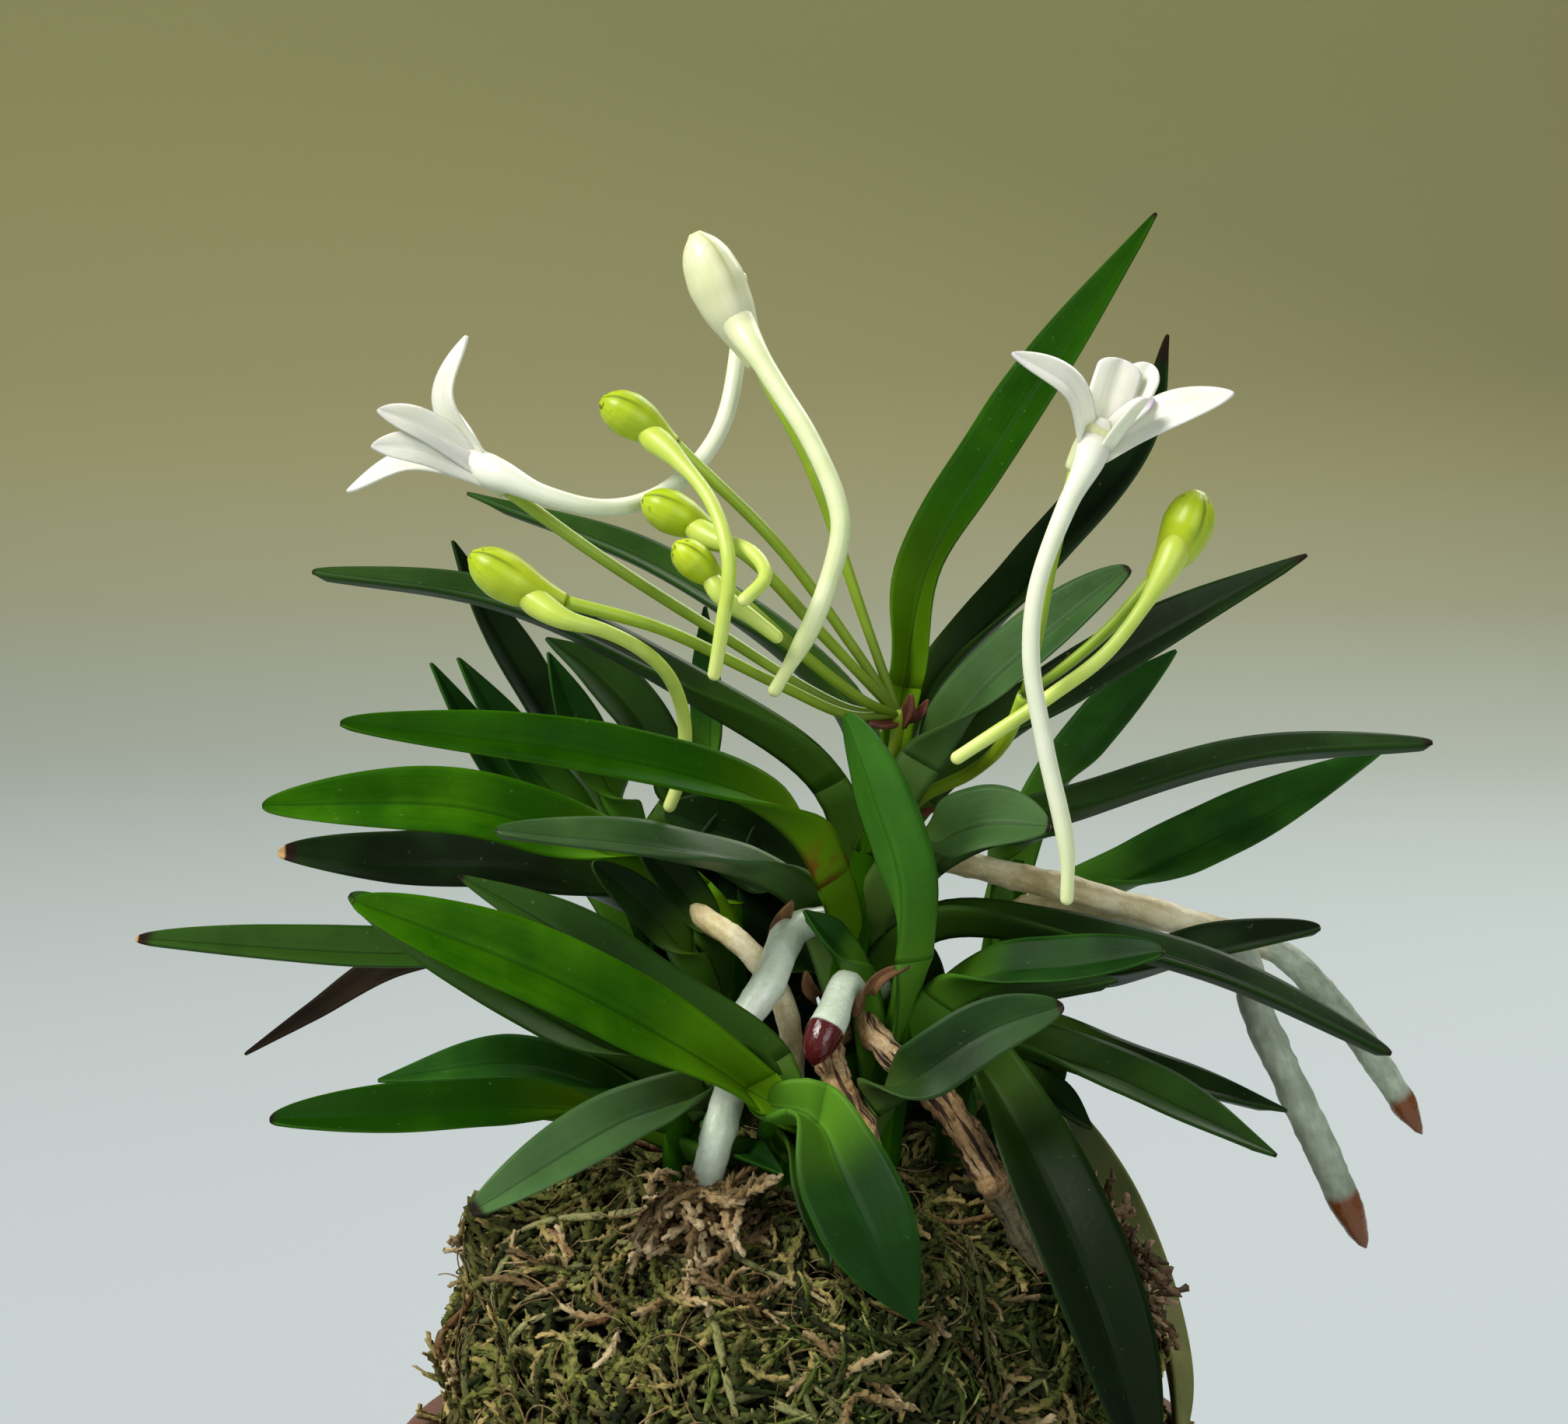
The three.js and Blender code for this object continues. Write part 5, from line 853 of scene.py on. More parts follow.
# Aerial roots: thick cords wrapped in a spongy skin, white while young, tan or brown when old. They
# leave the stems, run down into the moss or hang free, and end in a smooth growing tip. Each has its
# kind, its radii in mm and its path; one with a thin last radius hangs free.
ROOTS = {
    "root_white_front": ("white", [1.4, 1.7, 1.7, 1.6, 1.6, 1.7, 1.4],
     [(3.4, 0.5, 23), (-0.8, -4.4, 22.9), (-3, -9.2, 19), (-6.1, -11.6, 14.4), (-6.4, -14.4, 10.7),
      (-7.4, -17.6, 7.4), (-10, -17.8, -3)]),
    "root_tan_front": ("tan", [1, 1.15, 1.2, 1.2, 1.2, 1.2, 1.1],
     [(-17, 5, 25.4), (-13, 1.4, 24.8), (-5.2, -4.6, 21.4), (-1.6, -6.4, 16.4), (-0.8, -7, 10.5),
      (-1.4, -6.6, 3), (-1.6, -6.2, -3)]),
    "root_short_front": ("white", [1.3, 1.6, 1.75, 1.75, 0.6],
     [(7.4, -7, 18), (4.4, -9.6, 19.2), (2.8, -12, 16.6), (1.7, -13.6, 14.6), (1, -14.6, 12.6)]),
    "root_brown_front": ("brown", [1.1, 1.4, 1.4, 1.4, 1.2],
     [(4.4, 1.8, 12), (2.4, -7.4, 13), (3.4, -12.9, 10.2), (5.8, -15.2, 6), (6.6, -14.6, -3)]),
    "root_brown_right": ("brown", [1.1, 1.4, 1.5, 1.5, 1.7, 1.7, 1.1],
     [(8.6, -7.4, 14.6), (6.2, -9.2, 15), (7.6, -10.8, 13.4), (10.4, -11.6, 11), (12, -12.8, 10),
      (17.2, -14.2, 2.3), (21.8, -19.6, -5.2)]),
    "root_tan_right": ("tan", [1.1, 1.35, 1.4, 1.4, 1.45, 1.6, 1.75, 1.75, 1.75, 1.6, 0.5],
     [(6.4, 2.6, 26.6), (12.8, 8, 27.4), (20.2, 8, 25.8), (27.7, 8, 23.9), (36.1, 8.6, 21.4),
      (42.2, 9, 18.6), (44.2, 8.4, 12.4), (46.9, 7, 6.5), (50.4, 6, -0.9), (53.4, 6, -7.4),
          (54.9, 6, -10.6)]),
    "root_brown_back": ("tan", [1, 1.2, 1.3, 1.35, 1.4, 1.5, 1.5, 1.35, 0.5],
     [(19.6, 14.4, 19.4), (22, 11.8, 22), (28, 11.6, 22), (37, 12, 20.3), (46.4, 12.4, 17.6),
      (51.4, 12, 13), (57.2, 11, 5.5), (59.6, 11, 1.6), (61, 11, -0.6)]),
}
ROOT_SIDES = 16
ROOT_ROW = 0.0006  # from one ring of a root to the next
ROOT_SHADES = {
    # shades from dark to light, shade of the growing tip, roughness, and depth of the relief
    "white": (("#c4d3b8", "#deead3", "#f3f8ec"), "#54191b", 0.34, 0.00012),
    "tan": (("#b9a672", "#dccd9c", "#f2eac8"), "#74401a", 0.55, 0.0002),
    "brown": (("#8a6540", "#bd9868", "#e0c8a0"), "#4c3018", 0.8, 0.0006),
}
ROOT_ENDS = {
    # share of the root that is its growing tip, and share of it from which it is white
    "root_white_front": (0.0, 1.0), "root_short_front": (0.28, 1.0), "root_tan_right": (0.085, 0.5),
    "root_brown_back": (0.085, 0.5),
}
SHORT_TAPER = 0.0016  # how long the rounded end of a hanging root is
LONG_TAPER = 0.0034
BARK_KNOBS = 0.0005  # how far the knobs of a brown root and of the others stand out
SKIN_KNOBS = 0.00012
UNEVEN = 0.1  # share by which a root's thickness changes along it
THINNEST = 0.0001  # radius at the closed end of a hanging root
MEAN_SIZE = 0.93  # share of its radius that an uneven root has on average
LAST_SIZE = 0.85  # radius of the end of a hanging root as a share of the one before


def root_finish(name, kind):
    """Spongy root skin: cloudy along the root, with scars, fine pits, grime and a smooth tip. Brown
    bark is cracked. The own attribute holds how long the tip is and where the root turns white."""
    tones, tip, rough, depth = ROOT_SHADES[kind]
    places = (0.36, 0.52, 0.68)
    material, surface, place = new_finish(name, Specular_IOR_Level=0.5)
    uv = node(place.tree, "UVMap", "UV", uv_map="grain")
    _, along, _ = parts(uv)
    tip_share, white_from, _ = parts(node(place.tree, "Attribute", "Vector", attribute_name="own"))
    cloud = grain(place, 230, 5)
    pits = grain(place, 1900, 3)
    factor = cloud * 0.65 + grain(uv, 1, 4, (14, 46, 1)) * 0.35
    body = shades(factor, places, tones)
    body = over(remap(pits, 0.6, 0.72, 0, 0.4), body, tones[0])
    whitened = shades(factor, places, ("#838e78", "#9fab94", "#c0cab5"))
    body = over(remap(along - white_from, 0, 0.06), body, whitened)
    high = cloud * 2 + pits
    if kind == "brown":
        crack = remap(grain(uv, 1, 6, (15, 6, 1)), 0.48, 0.4)
        body = over(crack, body, "#3a2513")
        high = high - crack * 1.6
        body = over(remap(along, 0.67, 0.77, 0, 0.9), body, "#262a14")
    end = remap(along + cloud * 0.03 + tip_share - 1.015, -0.012, 0.008)
    body = over(end, body, tip)
    plug(surface.inputs["Base Color"], body)
    plug(surface.inputs["Roughness"], remap(end, 0, 1, rough, 0.16))
    relief(surface, high, 0.5, depth)
    return material


ROOT_FINISHES = {kind: root_finish(kind + " root", kind) for kind in ROOT_SHADES}
for name, (kind, radii, points) in ROOTS.items():
    bm = patterned()
    line = route(points)
    rows = int(length(line) / ROOT_ROW)
    shares = even(rows)
    centres, ahead = spots(line, shares)
    hangs = radii[-1] < 1
    if hangs:
        radii = [*radii[:-1], radii[-2] * LAST_SIZE]
    thick = np.interp(shares, run_of(line)[::ROUTE_STEPS], radii) * 0.001
    taper = SHORT_TAPER if "short" in name else LONG_TAPER
    rounding = [math.sqrt(min(1, (1 - t) * rows * ROOT_ROW / taper)) if hangs else 1 for t in shares]
    uneven = [MEAN_SIZE + UNEVEN * noise.noise(c * 420) for c in centres]
    thick = [r * size * end for r, size, end in zip(thick, uneven, rounding)]
    loft(bm, round_rings(centres, ahead, [max(r, THINNEST) for r in thick], ROOT_SIDES))
    knobs = BARK_KNOBS if kind == "brown" else SKIN_KNOBS
    for vert in bm.verts:
        middle = min(centres, key=lambda c: (c - vert.co).length_squared)
        vert.co += (vert.co - middle).normalized() * noise.fractal(vert.co * 700, 0.5, 2.0, 3) * knobs
    piece = keep(name + "_skin", bm, [ROOT_FINISHES[kind]], "root_" + kind, name)
    mark(piece, (*ROOT_ENDS.get(name, (-0.1, 1.0)), 0.0))

# Flower stalks: two short green stems that rise between the leaves, each branching at once into a thin
# stalk for every flower. Small dry brown scales, the bracts, sit where they branch: each has its width
# in mm, its face and its path.
STALKS = {
    "raceme_left_stalks": {
        "foot": [(8, -1.4, 37), (8.8, -2.4, 40.6), (8.9, -3, 43.6)],
        "pedicels": [
            [(8.9, -3, 43), (4.3, -3.4, 43.6), (-9.2, -6.4, 52), (-18.9, -8.6, 58.6),
             (-26.4, -9.6, 64.2)],
            [(8.9, -3, 43), (5.9, -3.4, 51.5), (0.9, -3.4, 65.6), (-3.9, -2.6, 75)],
            [(8.9, -3, 43), (4.6, -4.6, 49.6), (-2.2, -6.4, 59), (-11.4, -8, 68.2)],
            [(8.9, -3, 43), (1.4, -8, 51.5), (-3.6, -10.4, 57.2), (-7.4, -11.4, 60.4)],
            [(8.9, -3, 43), (6, -5.4, 44.4), (-0.8, -10.4, 50.2), (-6.8, -14.8, 56)],
            [(8.9, -3, 43), (4.6, -5.4, 43.2), (-2.2, -9.6, 46.7), (-12.4, -15, 52.3),
             (-20.8, -17.6, 55)],
        ],
        "bracts": [
            (1.4, (-0.5, -0.8, 0.2), [(9.3, -2.8, 42), (9.9, -3.8, 43.4), (10, -4.4, 45)]),
            (1.2, (-0.1, -0.8, 0.5), [(9.6, -2.6, 42.4), (11, -3.4, 43.2), (11.6, -3.8, 44.4)]),
            (1.3, (0, -0.4, 1), [(8.6, -3.2, 42.2), (7.2, -4.6, 42.2), (6.2, -5.4, 42.6)]),
        ],
    },
    "raceme_right_stalks": {
        "foot": [(8.4, -0.4, 31.8), (11.4, -1.2, 35), (15.6, -2.6, 37.4), (18.4, -7.4, 41),
            (20, -11.6, 46)],
        "pedicels": [
            [(20, -11.6, 46), (21, -13.4, 51.4), (22.2, -14.4, 58.6), (24, -14.4, 66.2)],
            [(20, -11.6, 46), (23.4, -12.8, 48.6), (27.6, -13.4, 52.4), (31.2, -13.4, 56.6)],
        ],
        "bracts": [
            (1.3, (0, -0.4, 1), [(9.8, -1.4, 32.6), (11, -2.2, 33.4), (12.4, -2.8, 34.2)]),
        ],
    },
}
STALK_SIDES = 14
DRY_SHEATHS = [
    # dead sheaths between the roots in front: width, face, path
    (1.5, (0.5, -0.6, 0.6), [(4.8, -10.4, 16.6), (6, -12.6, 19), (7.4, -13.4, 20.6), (10, -13, 21.7)]),
    (2, (0.1, -1, 0.2), [(-2.4, -3.4, 20.6), (-2, -4.8, 23.4), (-0.8, -5, 25.8)]),
    (1.6, (0.3, -0.9, 0.3), [(1.4, -6.4, 17), (0.6, -8.2, 18.4), (0.5, -9, 20)]),
]
STALK_FOOT = 0.00065  # radius of a flower stem, and of a flower's own stalk at its top
STALK_TOP = 0.00062
STALK_UNEVEN = 0.05
PETAL_RIPPLE = 0.05  # share of its width by which a petal's margin waves
PETAL_FOLD_WAVE = 5  # degrees by which its fold changes along it
STALK_ROW = 0.0009  # from one ring of a stalk to the next
GLOW_TINT = (0.6, 0.8, 0.35)  # how far red, green and blue light go into young tissue
GLOW_DEPTH = 0.0018
SCALE_KEEL = 0.0006  # thickness of a bract, a dry sheath or a petal along its fold


def smooth_finish(name, tones, gloss, glow=0.0, foot=None, tip=None, places=(0.35, 0.6, 0.85)):
    """Smooth young tissue: softly clouded, finely ribbed along its length, a little see-through."""
    material, surface, place = new_finish(
        name, Roughness=gloss, Subsurface_Weight=glow, Subsurface_Radius=GLOW_TINT,
        Subsurface_Scale=GLOW_DEPTH,
    )
    uv = node(place.tree, "UVMap", "UV", uv_map="grain")
    _, along, _ = parts(uv)
    rib = grain(uv, 1, 3, (22, 1.6, 1))
    body = shades(grain(place, 260, 4) * 0.6 + rib * 0.4, places, tones)
    if foot:
        body = over(remap(along, 0.36, 0.02), body, foot)
    if tip:
        body = over(remap(along, 0.7, 0.98), body, tip)
    plug(surface.inputs["Base Color"], body)
    relief(surface, rib, 0.3, 0.00012)
    return material, surface, body, uv, place


def petal_rings(width, face, path, fold, narrows=0.45, rows=26, foot=0.9, curl=0.2):
    """Rings of a thin arched petal: narrow at its foot, widest in the middle, pointed at its end."""
    shares = [1 - (1 - t) ** 1.4 for t in even(rows)]
    looks = Vector(face).normalized()
    rings = []
    for s, centre, ahead in zip(shares, *spots(route(path), shares)):
        closing = max(0, (s - narrows) / (1.0 - narrows)) ** 1.9
        ripple = 1 + PETAL_RIPPLE * noise.noise(centre * 220)
        ending = max(0.004, 1 - closing) ** (0.5 if narrows > 0.7 else 0.75)
        half = width * 0.0005 * blend(foot, 1, soft(2 * s)) * ending * ripple
        crease = math.radians(fold + PETAL_FOLD_WAVE * noise.noise(centre * 120))
        thick = min(SCALE_KEEL * blend(1, 0.5, s), half)
        rings.append(folded_ring(centre, ahead, looks, half, crease, thick, 0.0, curl))
    return rings


stalk_finish, *_ = smooth_finish(
    "flower stalk", ("#77940c", "#8ca61c", "#a3ba38"), 0.42, 0.1, "#5b770b", "#a4be32"
)
scale_finish, *_ = smooth_finish("dry bract", ("#4a1f17", "#7f4631", "#b98a60"), 0.7)
sheath_finish, *_ = smooth_finish(
    "dry sheath", ("#33200f", "#7a5330", "#b8925f"), 0.8, places=(0.38, 0.55, 0.7)
)
for name, stalk in STALKS.items():
    branches = [(stalk["foot"], STALK_FOOT * 0.9, STALK_FOOT)]
    branches += [(points, STALK_TOP * 0.72, STALK_TOP) for points in stalk["pedicels"]]
    lofts = []
    for points, thin, thick in branches:
        line = route(points)
        shares = even(int(length(line) / STALK_ROW) + 4)
        centres, ahead = spots(line, shares)
        uneven = [1 + STALK_UNEVEN * noise.noise(c * 300) for c in centres]
        radii = [blend(thin, thick, t) * size for t, size in zip(shares, uneven)]
        lofts.append(round_rings(centres, ahead, radii, STALK_SIDES))
    skin(name + "_skin", lofts, stalk_finish, "flower_stalk", name)
    bracts = [petal_rings(*bract, 24) for bract in stalk["bracts"]]
    skin(name.replace("stalks", "bracts"), bracts, scale_finish, "flower_stalk")
skin("dry_sheaths", [petal_rings(*sheath, 30) for sheath in DRY_SHEATHS], sheath_finish, "flower_stalk")

# Buds: closed flowers on their stalks, one cream and nearly open, five green and small. The head is
# ribbed and slit where its petals will part, and a long hollow spur curves back from its foot. Each
# has the head's radius and the spur's first one in mm, the head's middle line and the spur's path.
BUDS = {
    "bud_left_cream": (2.75, 1.2, [(-3.9, -2.6, 75), (-6.8, -2.3, 80.6), (-9.7, -2, 87)],
     [(-5.6, -3.4, 78.6), (-4.2, -5.4, 76.4), (-2, -7.4, 73), (0.6, -9.6, 69), (3, -12, 63.7),
      (3.4, -13, 60.6), (1.3, -14, 53.5), (-2.7, -14.4, 46.2)]),
    "bud_left_upper": (2.15, 0.95, [(-11.4, -8, 68.2), (-14.4, -8, 70.2), (-18, -8, 72.2)],
     [(-13.6, -9, 69), (-11.4, -11.2, 67.4), (-7.9, -15.2, 63.4), (-6.4, -18.4, 58.4),
      (-7, -18.8, 52.9), (-7.8, -18, 48.1)]),
    "bud_left_middle": (2.05, 0.95, [(-7.4, -11.4, 60.4), (-10.4, -11.6, 61.8), (-14.2, -11.6, 63.6)],
     [(-9.4, -12.6, 60.9), (-7.4, -14.4, 60), (-4.6, -16.8, 59.4), (-3.2, -19.4, 57.4),
      (-5.4, -21.2, 55.2)]),
    "bud_left_inner": (1.7, 0.9, [(-6.8, -14.8, 56), (-8.8, -15.6, 57.8), (-11.2, -16.2, 60)],
     [(-8.2, -15.9, 57), (-6.8, -16.7, 55.2), (-4.6, -16.4, 53.6), (-1.8, -16.4, 51.4)]),
    "bud_left_lower": (2.25, 0.95, [(-20.8, -17.6, 55), (-24.8, -18, 56.6), (-29, -18, 59.2)],
     [(-23.4, -18.8, 55.2), (-20.8, -20.2, 53.8), (-17.6, -19.6, 52.8), (-14.3, -17, 50.8),
      (-11.7, -12.4, 47.4), (-10.6, -9.4, 43), (-10.9, -8.4, 38.4), (-12.2, -8.6, 34.8)]),
    "bud_right": (2.4, 1.05, [(31.2, -13.4, 56.6), (33.6, -13.4, 60), (35.2, -13.2, 64.4)],
     [(33.2, -14.6, 60), (31.8, -15.8, 57.2), (27, -16.8, 50.6), (21.8, -17.4, 46.6),
      (13.2, -17.4, 40.8)]),
}
HEAD_SHARES = [0, 0.08, 0.18, 0.42, 0.64, 0.82, 0.94, 1]
HEAD_SWELL = [0.34, 0.42, 0.54, 0.88, 1, 0.85, 0.55, 0.12]
HEAD_SIDES = 36
HEAD_ROWS = 34
SLIT_DEPTH = 0.05
SPUR_TIP = 0.0006
SPUR_TAPERS_BY = 0.34
SPUR_SIDES = 16
NECK = 0.0028  # from the start of a spur to where it is widest; by twice that again it is even
SPUR_ROW = 0.0007  # from one ring of a spur to the next
SPUR_END_FROM = 0.85  # share of a spur from which it changes to the radius of its tip
SPUR_UNEVEN = 0.03
SPUR_START = 0.35  # share of its radius with which a spur starts
DOME_ROWS = 6
HEAD_RIBS = 0.04  # how far the three ribs of a head stand out, as a share of its radius
SLIT_SHARPNESS = 12
SLIT_TURN = 0.4  # radians by which the slits are turned


def spur_rings(points, thick, tube, mouth):
    """Rings of a spur: a wide round start, thick near the throat, thin and even after, a round end."""
    line = route(points)
    long = length(line)
    rows = int(long / SPUR_ROW)
    dome = SPUR_TIP / long
    shares = [(1 - dome) * (i / rows) ** 1.25 for i in range(rows)]
    shares += [1 - dome * (1 - math.sin(math.pi / 2 * i / DOME_ROWS)) for i in range(DOME_ROWS + 1)]
    centres, ahead = spots(line, shares)
    radii = []
    for t, centre in zip(shares, centres):
        radius = blend(thick, tube, soft(t / SPUR_TAPERS_BY))
        radius = blend(radius, SPUR_TIP, soft((t - SPUR_END_FROM) / 0.1))
        gone = t * long / NECK
        radius = blend(mouth, radius, soft((gone - 1) / 2) ** 0.7) * blend(SPUR_START, 1, soft(gone) ** 0.6)
        height = max(0, (t - 1 + dome) / dome)
        uneven = 1 + SPUR_UNEVEN * noise.noise(centre * 260)
        radii.append(radius * math.sqrt(max(0.01, 1 - height**2)) * uneven)
    return round_rings(centres, ahead, radii, SPUR_SIDES)


def head_rings(points, radius):
    """Rings of a closed flower: swollen, with three ribs and three sharp slits between them."""
    shares = even(HEAD_ROWS)
    swell = np.interp(shares, HEAD_SHARES, HEAD_SWELL)
    swell = np.convolve(np.pad(swell, 2, mode="edge"), [0.1, 0.2, 0.4, 0.2, 0.1], "valid")
    away = Vector((0.2, -0.9, 0.3))
    rings = []
    for t, size, centre, ahead in zip(shares, swell, *spots(route(points), shares)):
        across = (away - ahead * ahead.dot(away)).normalized()
        other = across.cross(ahead)
        slit = SLIT_DEPTH * soft(t * 3) * (1 - 0.3 * t)
        ring = []
        for j in range(HEAD_SIDES):
            angle = 2 * math.pi * j / HEAD_SIDES
            cut = abs(math.cos(1.5 * angle + SLIT_TURN)) ** SLIT_SHARPNESS
            r = radius * 0.001 * size * (1 + HEAD_RIBS * math.cos(3 * angle) - slit * cut)
            ring.append(centre + (across * math.cos(angle) + other * math.sin(angle)) * r)
        rings.append(ring)
    return rings


def bud_finish(name, tones, foot, slit, dots):
    """Closed flower: clouded, darker in its slits, paler at its foot, with dark dots at its nose."""
    material, surface, body, uv, place = smooth_finish(name, tones, 0.4, 0.3, foot)
    across, along, _ = parts(uv)
    seam = (across * (3 * math.pi) + SLIT_TURN).by("COSINE").by("ABSOLUTE").by("POWER", 90)
    body = over(seam * remap(along, 0.35, 0.8, 0, 0.75), body, slit)
    dot = remap(grain(place, 1300, 1), 0.6, 0.68) * remap(along, 0.78, 0.95)
    plug(surface.inputs["Base Color"], over(dot * dots, body, "#3a4a12"))
    return material


BUD_FINISHES = {
    # of the head and of the spur
    "green_bud": (
        bud_finish("green bud", ("#9fb60c", "#b7ca16", "#cfdc3c"), "#b2c42c", "#55690a", 0.8),
        smooth_finish("green spur", ("#b4c84c", "#c6d668", "#d8e284"), 0.4, 0.4, "#bccc44", "#dbe48e")[0],
    ),
    "cream_bud": (
        bud_finish("cream bud", ("#d9dba6", "#e4e5bf", "#eeeed2"), "#dcdf9f", "#b9b878", 0.15),
        smooth_finish("cream spur", ("#cfd9a0", "#dfe5bb", "#ecf0d2"), 0.4, 0.4, "#e0e2b4", "#d9e296")[0],
    ),
}
BUD_TUBES = {"green_bud": 0.00064, "cream_bud": 0.0009}  # radius of the spur's even part
for name, (radius, spur_foot, head, spur) in BUDS.items():
    kind = "cream_bud" if "cream" in name else "green_bud"
    head_finish, spur_finish = BUD_FINISHES[kind]
    skin(name + "_head", [head_rings(head, radius)], head_finish, kind, name)
    _, middle, top = [Vector(point) for point in head]
    in_head = Vector(spur[0]).lerp(middle, 0.45) + (top - middle) * 0.3
    rings = spur_rings([in_head, *spur], spur_foot * 0.00095, BUD_TUBES[kind], radius * 0.00058)
    skin(name + "_spur", [rings], spur_finish, kind, name)

# Open flowers: five narrow white petals and sepals, bent back, round a short lip and a small hood over
# the throat. From the throat a thin spur as long as the flower stalk hangs down or curves up. Each
# petal has its width in mm, its face, its path and the share of it from which it narrows.
BLOOMS = {
    "flower_left_open": {
        "throat": [(-26.4, -9.6, 64.2), (-27.6, -10, 65.4), (-29.6, -10.5, 67)],
        "throat_swell": [0.9, 1.3, 1.5],
        "mouth": (-30.4, -10.8, 67.6),
        "spur": [(-28.4, -10.8, 66.2), (-26.4, -12, 65.5), (-23, -12.6, 64), (-18.5, -11.6, 62.8),
         (-14.1, -8, 63.1), (-10, -3.4, 65.6), (-7.2, 1, 69.7), (-5.9, 4, 76), (-5.6, 6, 83.4)],
        "tepals": [
            (3.3, (-0.75, -0.6, 0.25), [(-28.4, -10.2, 66.2), (-31.8, -10.8, 72.4),
                (-29.9, -10, 78)], 0.5),
            (3.6, (0.1, -0.8, 0.65), [(-28.4, -10.6, 66.2), (-32.6, -12.6, 69.6),
                (-37.2, -14.8, 71.7)], 0.6),
            (3.4, (0, -0.85, 0.5), [(-28.2, -11, 65.6), (-33.4, -13.8, 68), (-37.7, -15.8, 68.6)], 0.62),
            (2.9, (-0.1, -0.7, 0.8), [(-28.4, -9.8, 65.5), (-35, -8.8, 66.8), (-41, -8, 64)], 0.4),
            (3, (-0.6, -0.6, 0.4), [(-28.4, -9.6, 66), (-31, -6, 69), (-32, -3, 71.2)], 0.45),
            (2.8, (-0.3, 0, 1), [(-28.6, -10.3, 65.8), (-31.2, -11, 66.8), (-33.6, -11.6, 67)], 0.5),
            (1.8, (-0.8, 0, 0.6), [(-28.4, -10.2, 66.4), (-30, -10.3, 67.6), (-31, -10.4, 68.6)], 0.7),
        ],
    },
    "flower_right_open": {
        "throat": [(24, -14.4, 66.2), (24.8, -14.7, 67.6), (26.5, -15.1, 70.2)],
        "throat_swell": [1, 1.4, 1.7],
        "mouth": (26.6, -15, 70.8),
        "spur": [(25.7, -15.3, 68.9), (25, -17, 67.2), (22.8, -18.6, 63), (20.4, -19.8, 56.4),
         (19.9, -20.4, 50.4), (21.2, -20.6, 42.6), (23.2, -20.4, 33.4), (23.3, -19.8, 28.4)],
        "tepals": [
            (3.5, (0.55, -0.7, 0.45), [(25.2, -15.2, 68), (23.6, -16.8, 73.4),
                (18.2, -18.6, 76.8)], 0.45),
            (4, (-0.35, -0.75, 0.55), [(26.2, -15.4, 68), (31.6, -16.4, 71.3), (37.5, -17.4, 73.3)], 0.5),
            (4.3, (0.1, -1, 0.15), [(25.9, -14.8, 68), (27.1, -14.2, 72.6), (28.2, -13.6, 76)], 0.86),
            (3.6, (-0.35, -0.9, 0.3), [(26.4, -14.6, 68), (29, -13.6, 72.4), (30.7, -13, 75.6)], 0.8),
            (3, (0.7, -0.2, 0.6), [(25.8, -14.2, 68.2), (24.6, -11.6, 72), (23.4, -9.6, 74.4)], 0.45),
            (3.3, (-0.6, 0.3, 0.75), [(26.6, -15.8, 68.2), (28.3, -17.8, 70.8), (29.9, -18.6, 73)], 0.75),
            (2, (0.4, -0.6, 0.6), [(26.2, -15, 69), (28.6, -15.6, 71.2), (30.7, -16.2, 72.7)], 0.7),
        ],
    },
}
BLOOM_SPUR = 0.0011  # radius of a spur near the throat, of its even part and at its mouth
BLOOM_TUBE = 0.0008
MOUTH = 0.0016
PETAL_FOLD = 11  # degrees
LIP = 6  # which of a flower's petals is its small inner lip
THROAT_ROWS = 12
THROAT_SIDES = 24


def petal_finish(name, lip):
    """White petal: faint green veins, creamy at its foot, lavender at its tip that is partly a faint tint
    and partly painted shade, and more of that painted lavender shade on a lip."""
    tones = ("#d3d4c2", "#e3e3d6", "#eeeee6")
    material, surface, body, uv, place = smooth_finish(name, tones, 0.5, 0.35, places=(0.3, 0.55, 0.8))
    _, along, _ = parts(uv)
    vein = remap(grain(uv, 1, 2, (60, 1.2, 1)), 0.52, 0.66)
    body = over(vein * 0.3, body, "#cfd3bd")
    body = over(remap(along, 0.2, 0.0, 0, 0.6), body, "#dfe3c4")
    # lavender towards the tip: partly a faint tint, partly painted shade
    lavender_tint_and_shade = remap(along, 0.72, 1.0) * grain(place, 180, 2)
    body = over(lavender_tint_and_shade * 0.7, body, "#cdbcd2")
    if lip:
        # painted shade: deeper lavender on the small lip in the throat
        body = over(remap(along, 0.5, 0.9, 0, 0.8), body, "#9d86a8")
    plug(surface.inputs["Base Color"], body)
    return material


white_petal = petal_finish("white petal", False)
white_lip = petal_finish("white lip", True)
white_spur, *_ = smooth_finish(
    "white spur", ("#dbe0c4", "#e4e7d2", "#eeefe2"), 0.4, 0.4, "#e2e3d4", "#dfe9a6"
)
throat_finish, *_ = smooth_finish("throat", ("#ccd490", "#dbe0b2", "#ecedd6"), 0.45, 0.3)
for name, bloom in BLOOMS.items():
    for i, (width, face, path, blunt) in enumerate(bloom["tepals"]):
        rings = petal_rings(width, face, path, PETAL_FOLD, blunt, 34, 0.8, 0.3)
        skin(f"{name}_petal_{i + 1}", [rings], white_lip if i == LIP else white_petal, "petal", name)
    shares = even(THROAT_ROWS)
    centres, ahead = spots(route(bloom["throat"]), shares)
    swell = np.interp(shares, [0, 0.4, 1], bloom["throat_swell"])
    radii = [size * 0.001 * math.sqrt(min(1, 0.2 + 6 * (1 - t))) for t, size in zip(shares, swell)]
    rings = round_rings(centres, ahead, radii, THROAT_SIDES)
    skin(name + "_throat", [rings], throat_finish, "petal", name)
    rings = spur_rings([bloom["mouth"], *bloom["spur"]], BLOOM_SPUR, BLOOM_TUBE, MOUTH)
    skin(name + "_spur", [rings], white_spur, "petal", name)

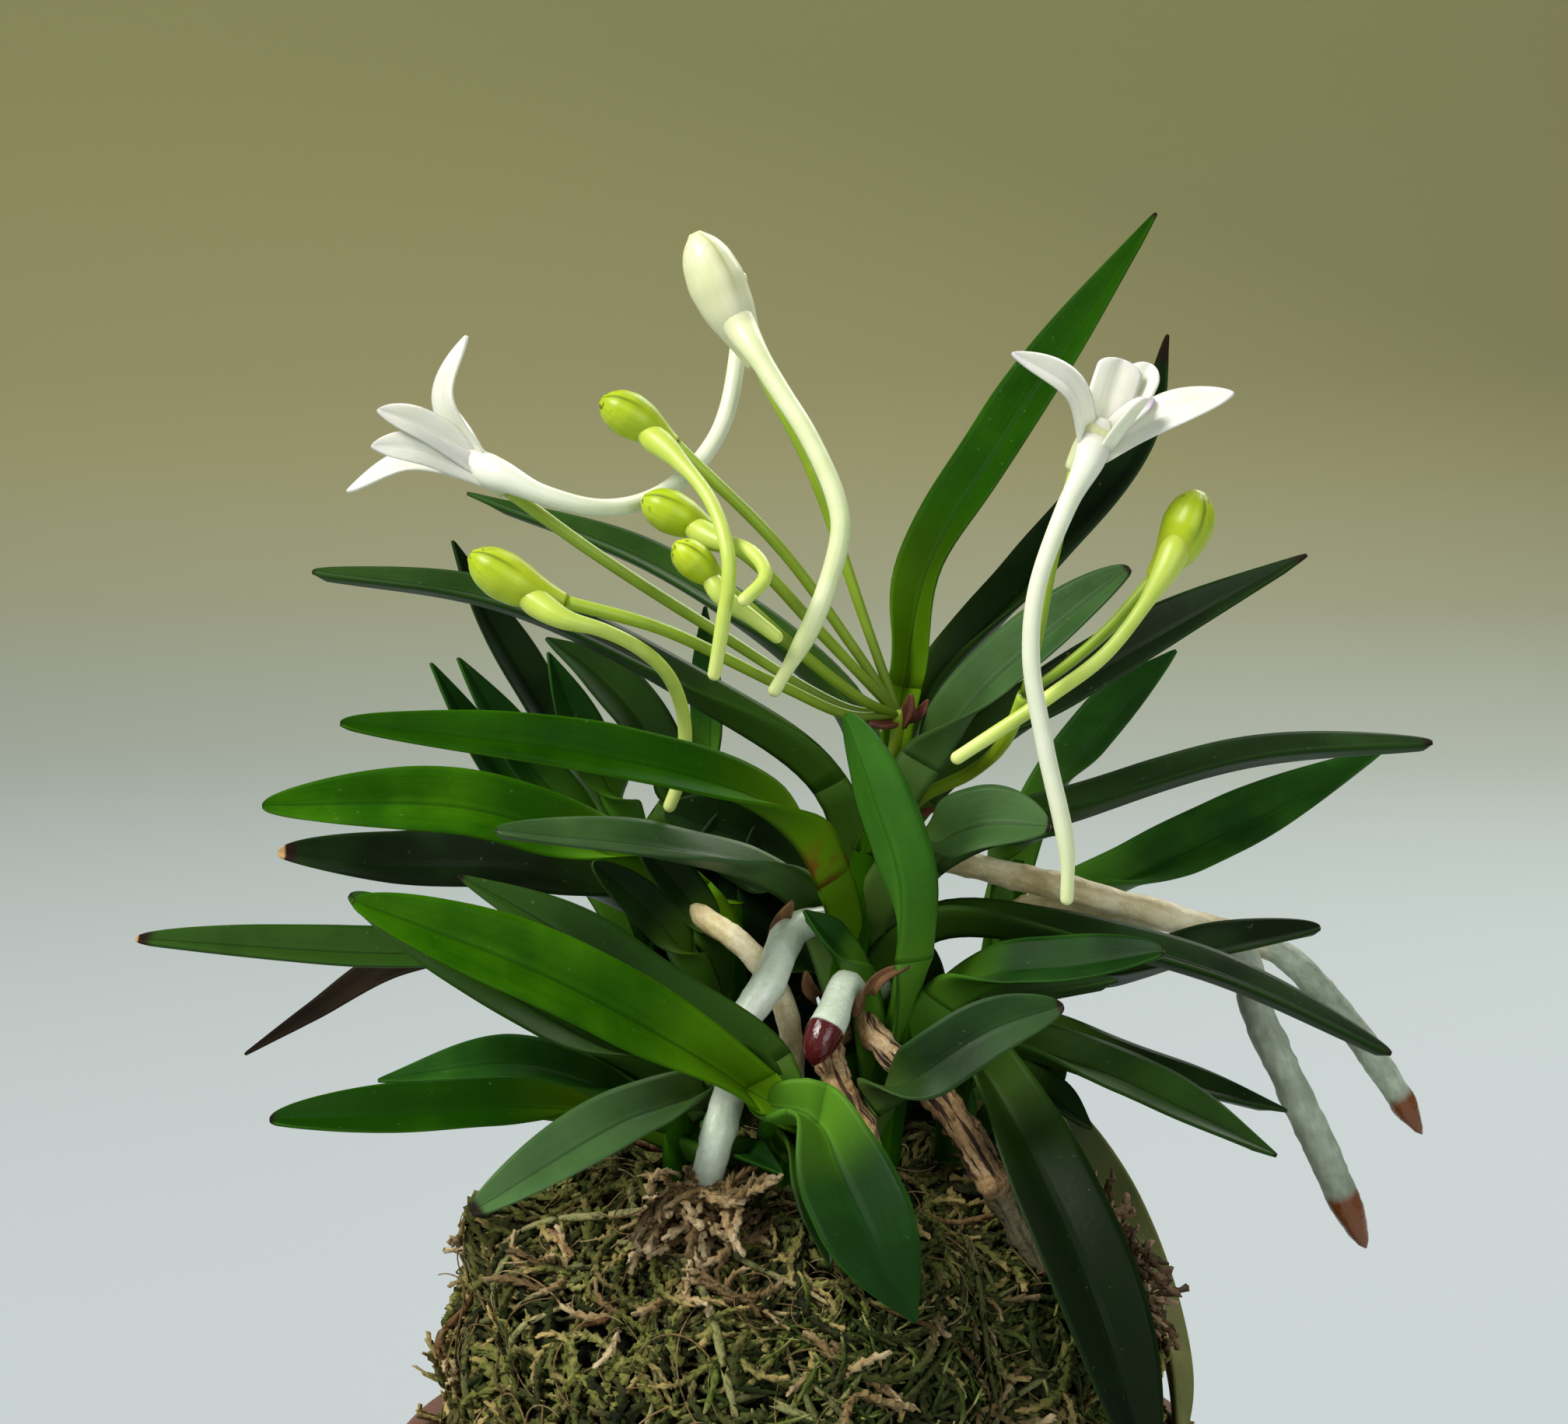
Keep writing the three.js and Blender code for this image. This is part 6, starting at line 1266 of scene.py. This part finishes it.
# Studio: a pale floor that curves up behind the plant, soft light from high on the left, from the
# front and from behind, and the camera where the photograph was taken from, just above the flowers.
FLOOR_PROFILE = [(-1.2, 0), (0.9, 0), (1.15, 0.03), (1.36, 0.12), (1.5, 0.28), (1.56, 0.5), (1.58, 1.6)]
CAMERA_AT = (-0.00159, -0.3169, 0.1893)
CAMERA_LOOKS_AT = (-0.00159, 0, 0.14477)
LENS = 78.86
SENSOR = 36
FLOOR_WIDTH = 4.4
ROOM_SHADE = (0.72, 0.76, 0.78, 1)
ROOM_LIGHT = 0.25
LIGHTS = {
    # place, width, watts, tint
    "window": ((-0.75, -0.45, 1.05), 0.6, 20, (1.0, 0.985, 0.95)),
    "front": ((0.6, -1.1, 0.6), 0.9, 5.5, (0.96, 0.98, 1.0)),
    "behind": ((0.45, 0.7, 0.8), 0.6, 8, (1.0, 0.99, 0.96)),
}
# shades of the paper, from the floor in front of the plant to the top behind it
PAPER = ("#acb4b7", "#a8b1af", "#a8af9f", "#aeaf90", "#aeaa7d", "#a6a26e")
PAPER_PLACES = (0, 0.16, 0.34, 0.5, 0.66, 1)

backdrop, surface, place = new_finish("pale paper", Roughness=0.95)
_, back, up = parts(place)
along = remap(back + up * 3.0, 0.2, 2.4) + grain(place, 8, 3) * 0.02
plug(surface.inputs["Base Color"], shades(along, PAPER_PLACES, PAPER))
relief(surface, grain(place, 900, 2), 0.1, 0.0002)
bm = bmesh.new()
edge = [bm.verts.new((-FLOOR_WIDTH / 2, y, z)) for y, z in FLOOR_PROFILE]
edge_lines = [bm.edges.new(pair) for pair in zip(edge, edge[1:])]
swept = bmesh.ops.extrude_edge_only(bm, edges=edge_lines)["geom"]
moved = [v for v in swept if isinstance(v, bmesh.types.BMVert)]
bmesh.ops.translate(bm, vec=(FLOOR_WIDTH, 0, 0), verts=moved)
bmesh.ops.recalc_face_normals(bm, faces=bm.faces)
floor = shaped("floor", bm, backdrop)
floor.data.shade_smooth()


def aim(holder, at):
    """Puts a lamp or the camera in its place and turns it to the plant."""
    holder.location = at
    holder.rotation_euler = (Vector(CAMERA_LOOKS_AT) - Vector(at)).to_track_quat("-Z", "Y").to_euler()
    bpy.context.scene.collection.objects.link(holder)


for name, (at, width, watts, tint) in LIGHTS.items():
    lamp = bpy.data.lights.new(name, "AREA")
    lamp.shape = "DISK"
    lamp.size = width
    lamp.energy = watts
    lamp.color = tint
    aim(bpy.data.objects.new(name, lamp), at)
world = bpy.data.worlds.new("room")
world.use_nodes = True
room = world.node_tree.nodes["Background"]
room.inputs["Color"].default_value = ROOM_SHADE
room.inputs["Strength"].default_value = ROOM_LIGHT
bpy.context.scene.view_settings.view_transform = "Standard"
bpy.context.scene.world = world

camera = bpy.data.cameras.new("camera")
camera.lens = LENS
camera.sensor_width = SENSOR
tripod = bpy.data.objects.new("camera", camera)
aim(tripod, CAMERA_AT)
bpy.context.scene.camera = tripod
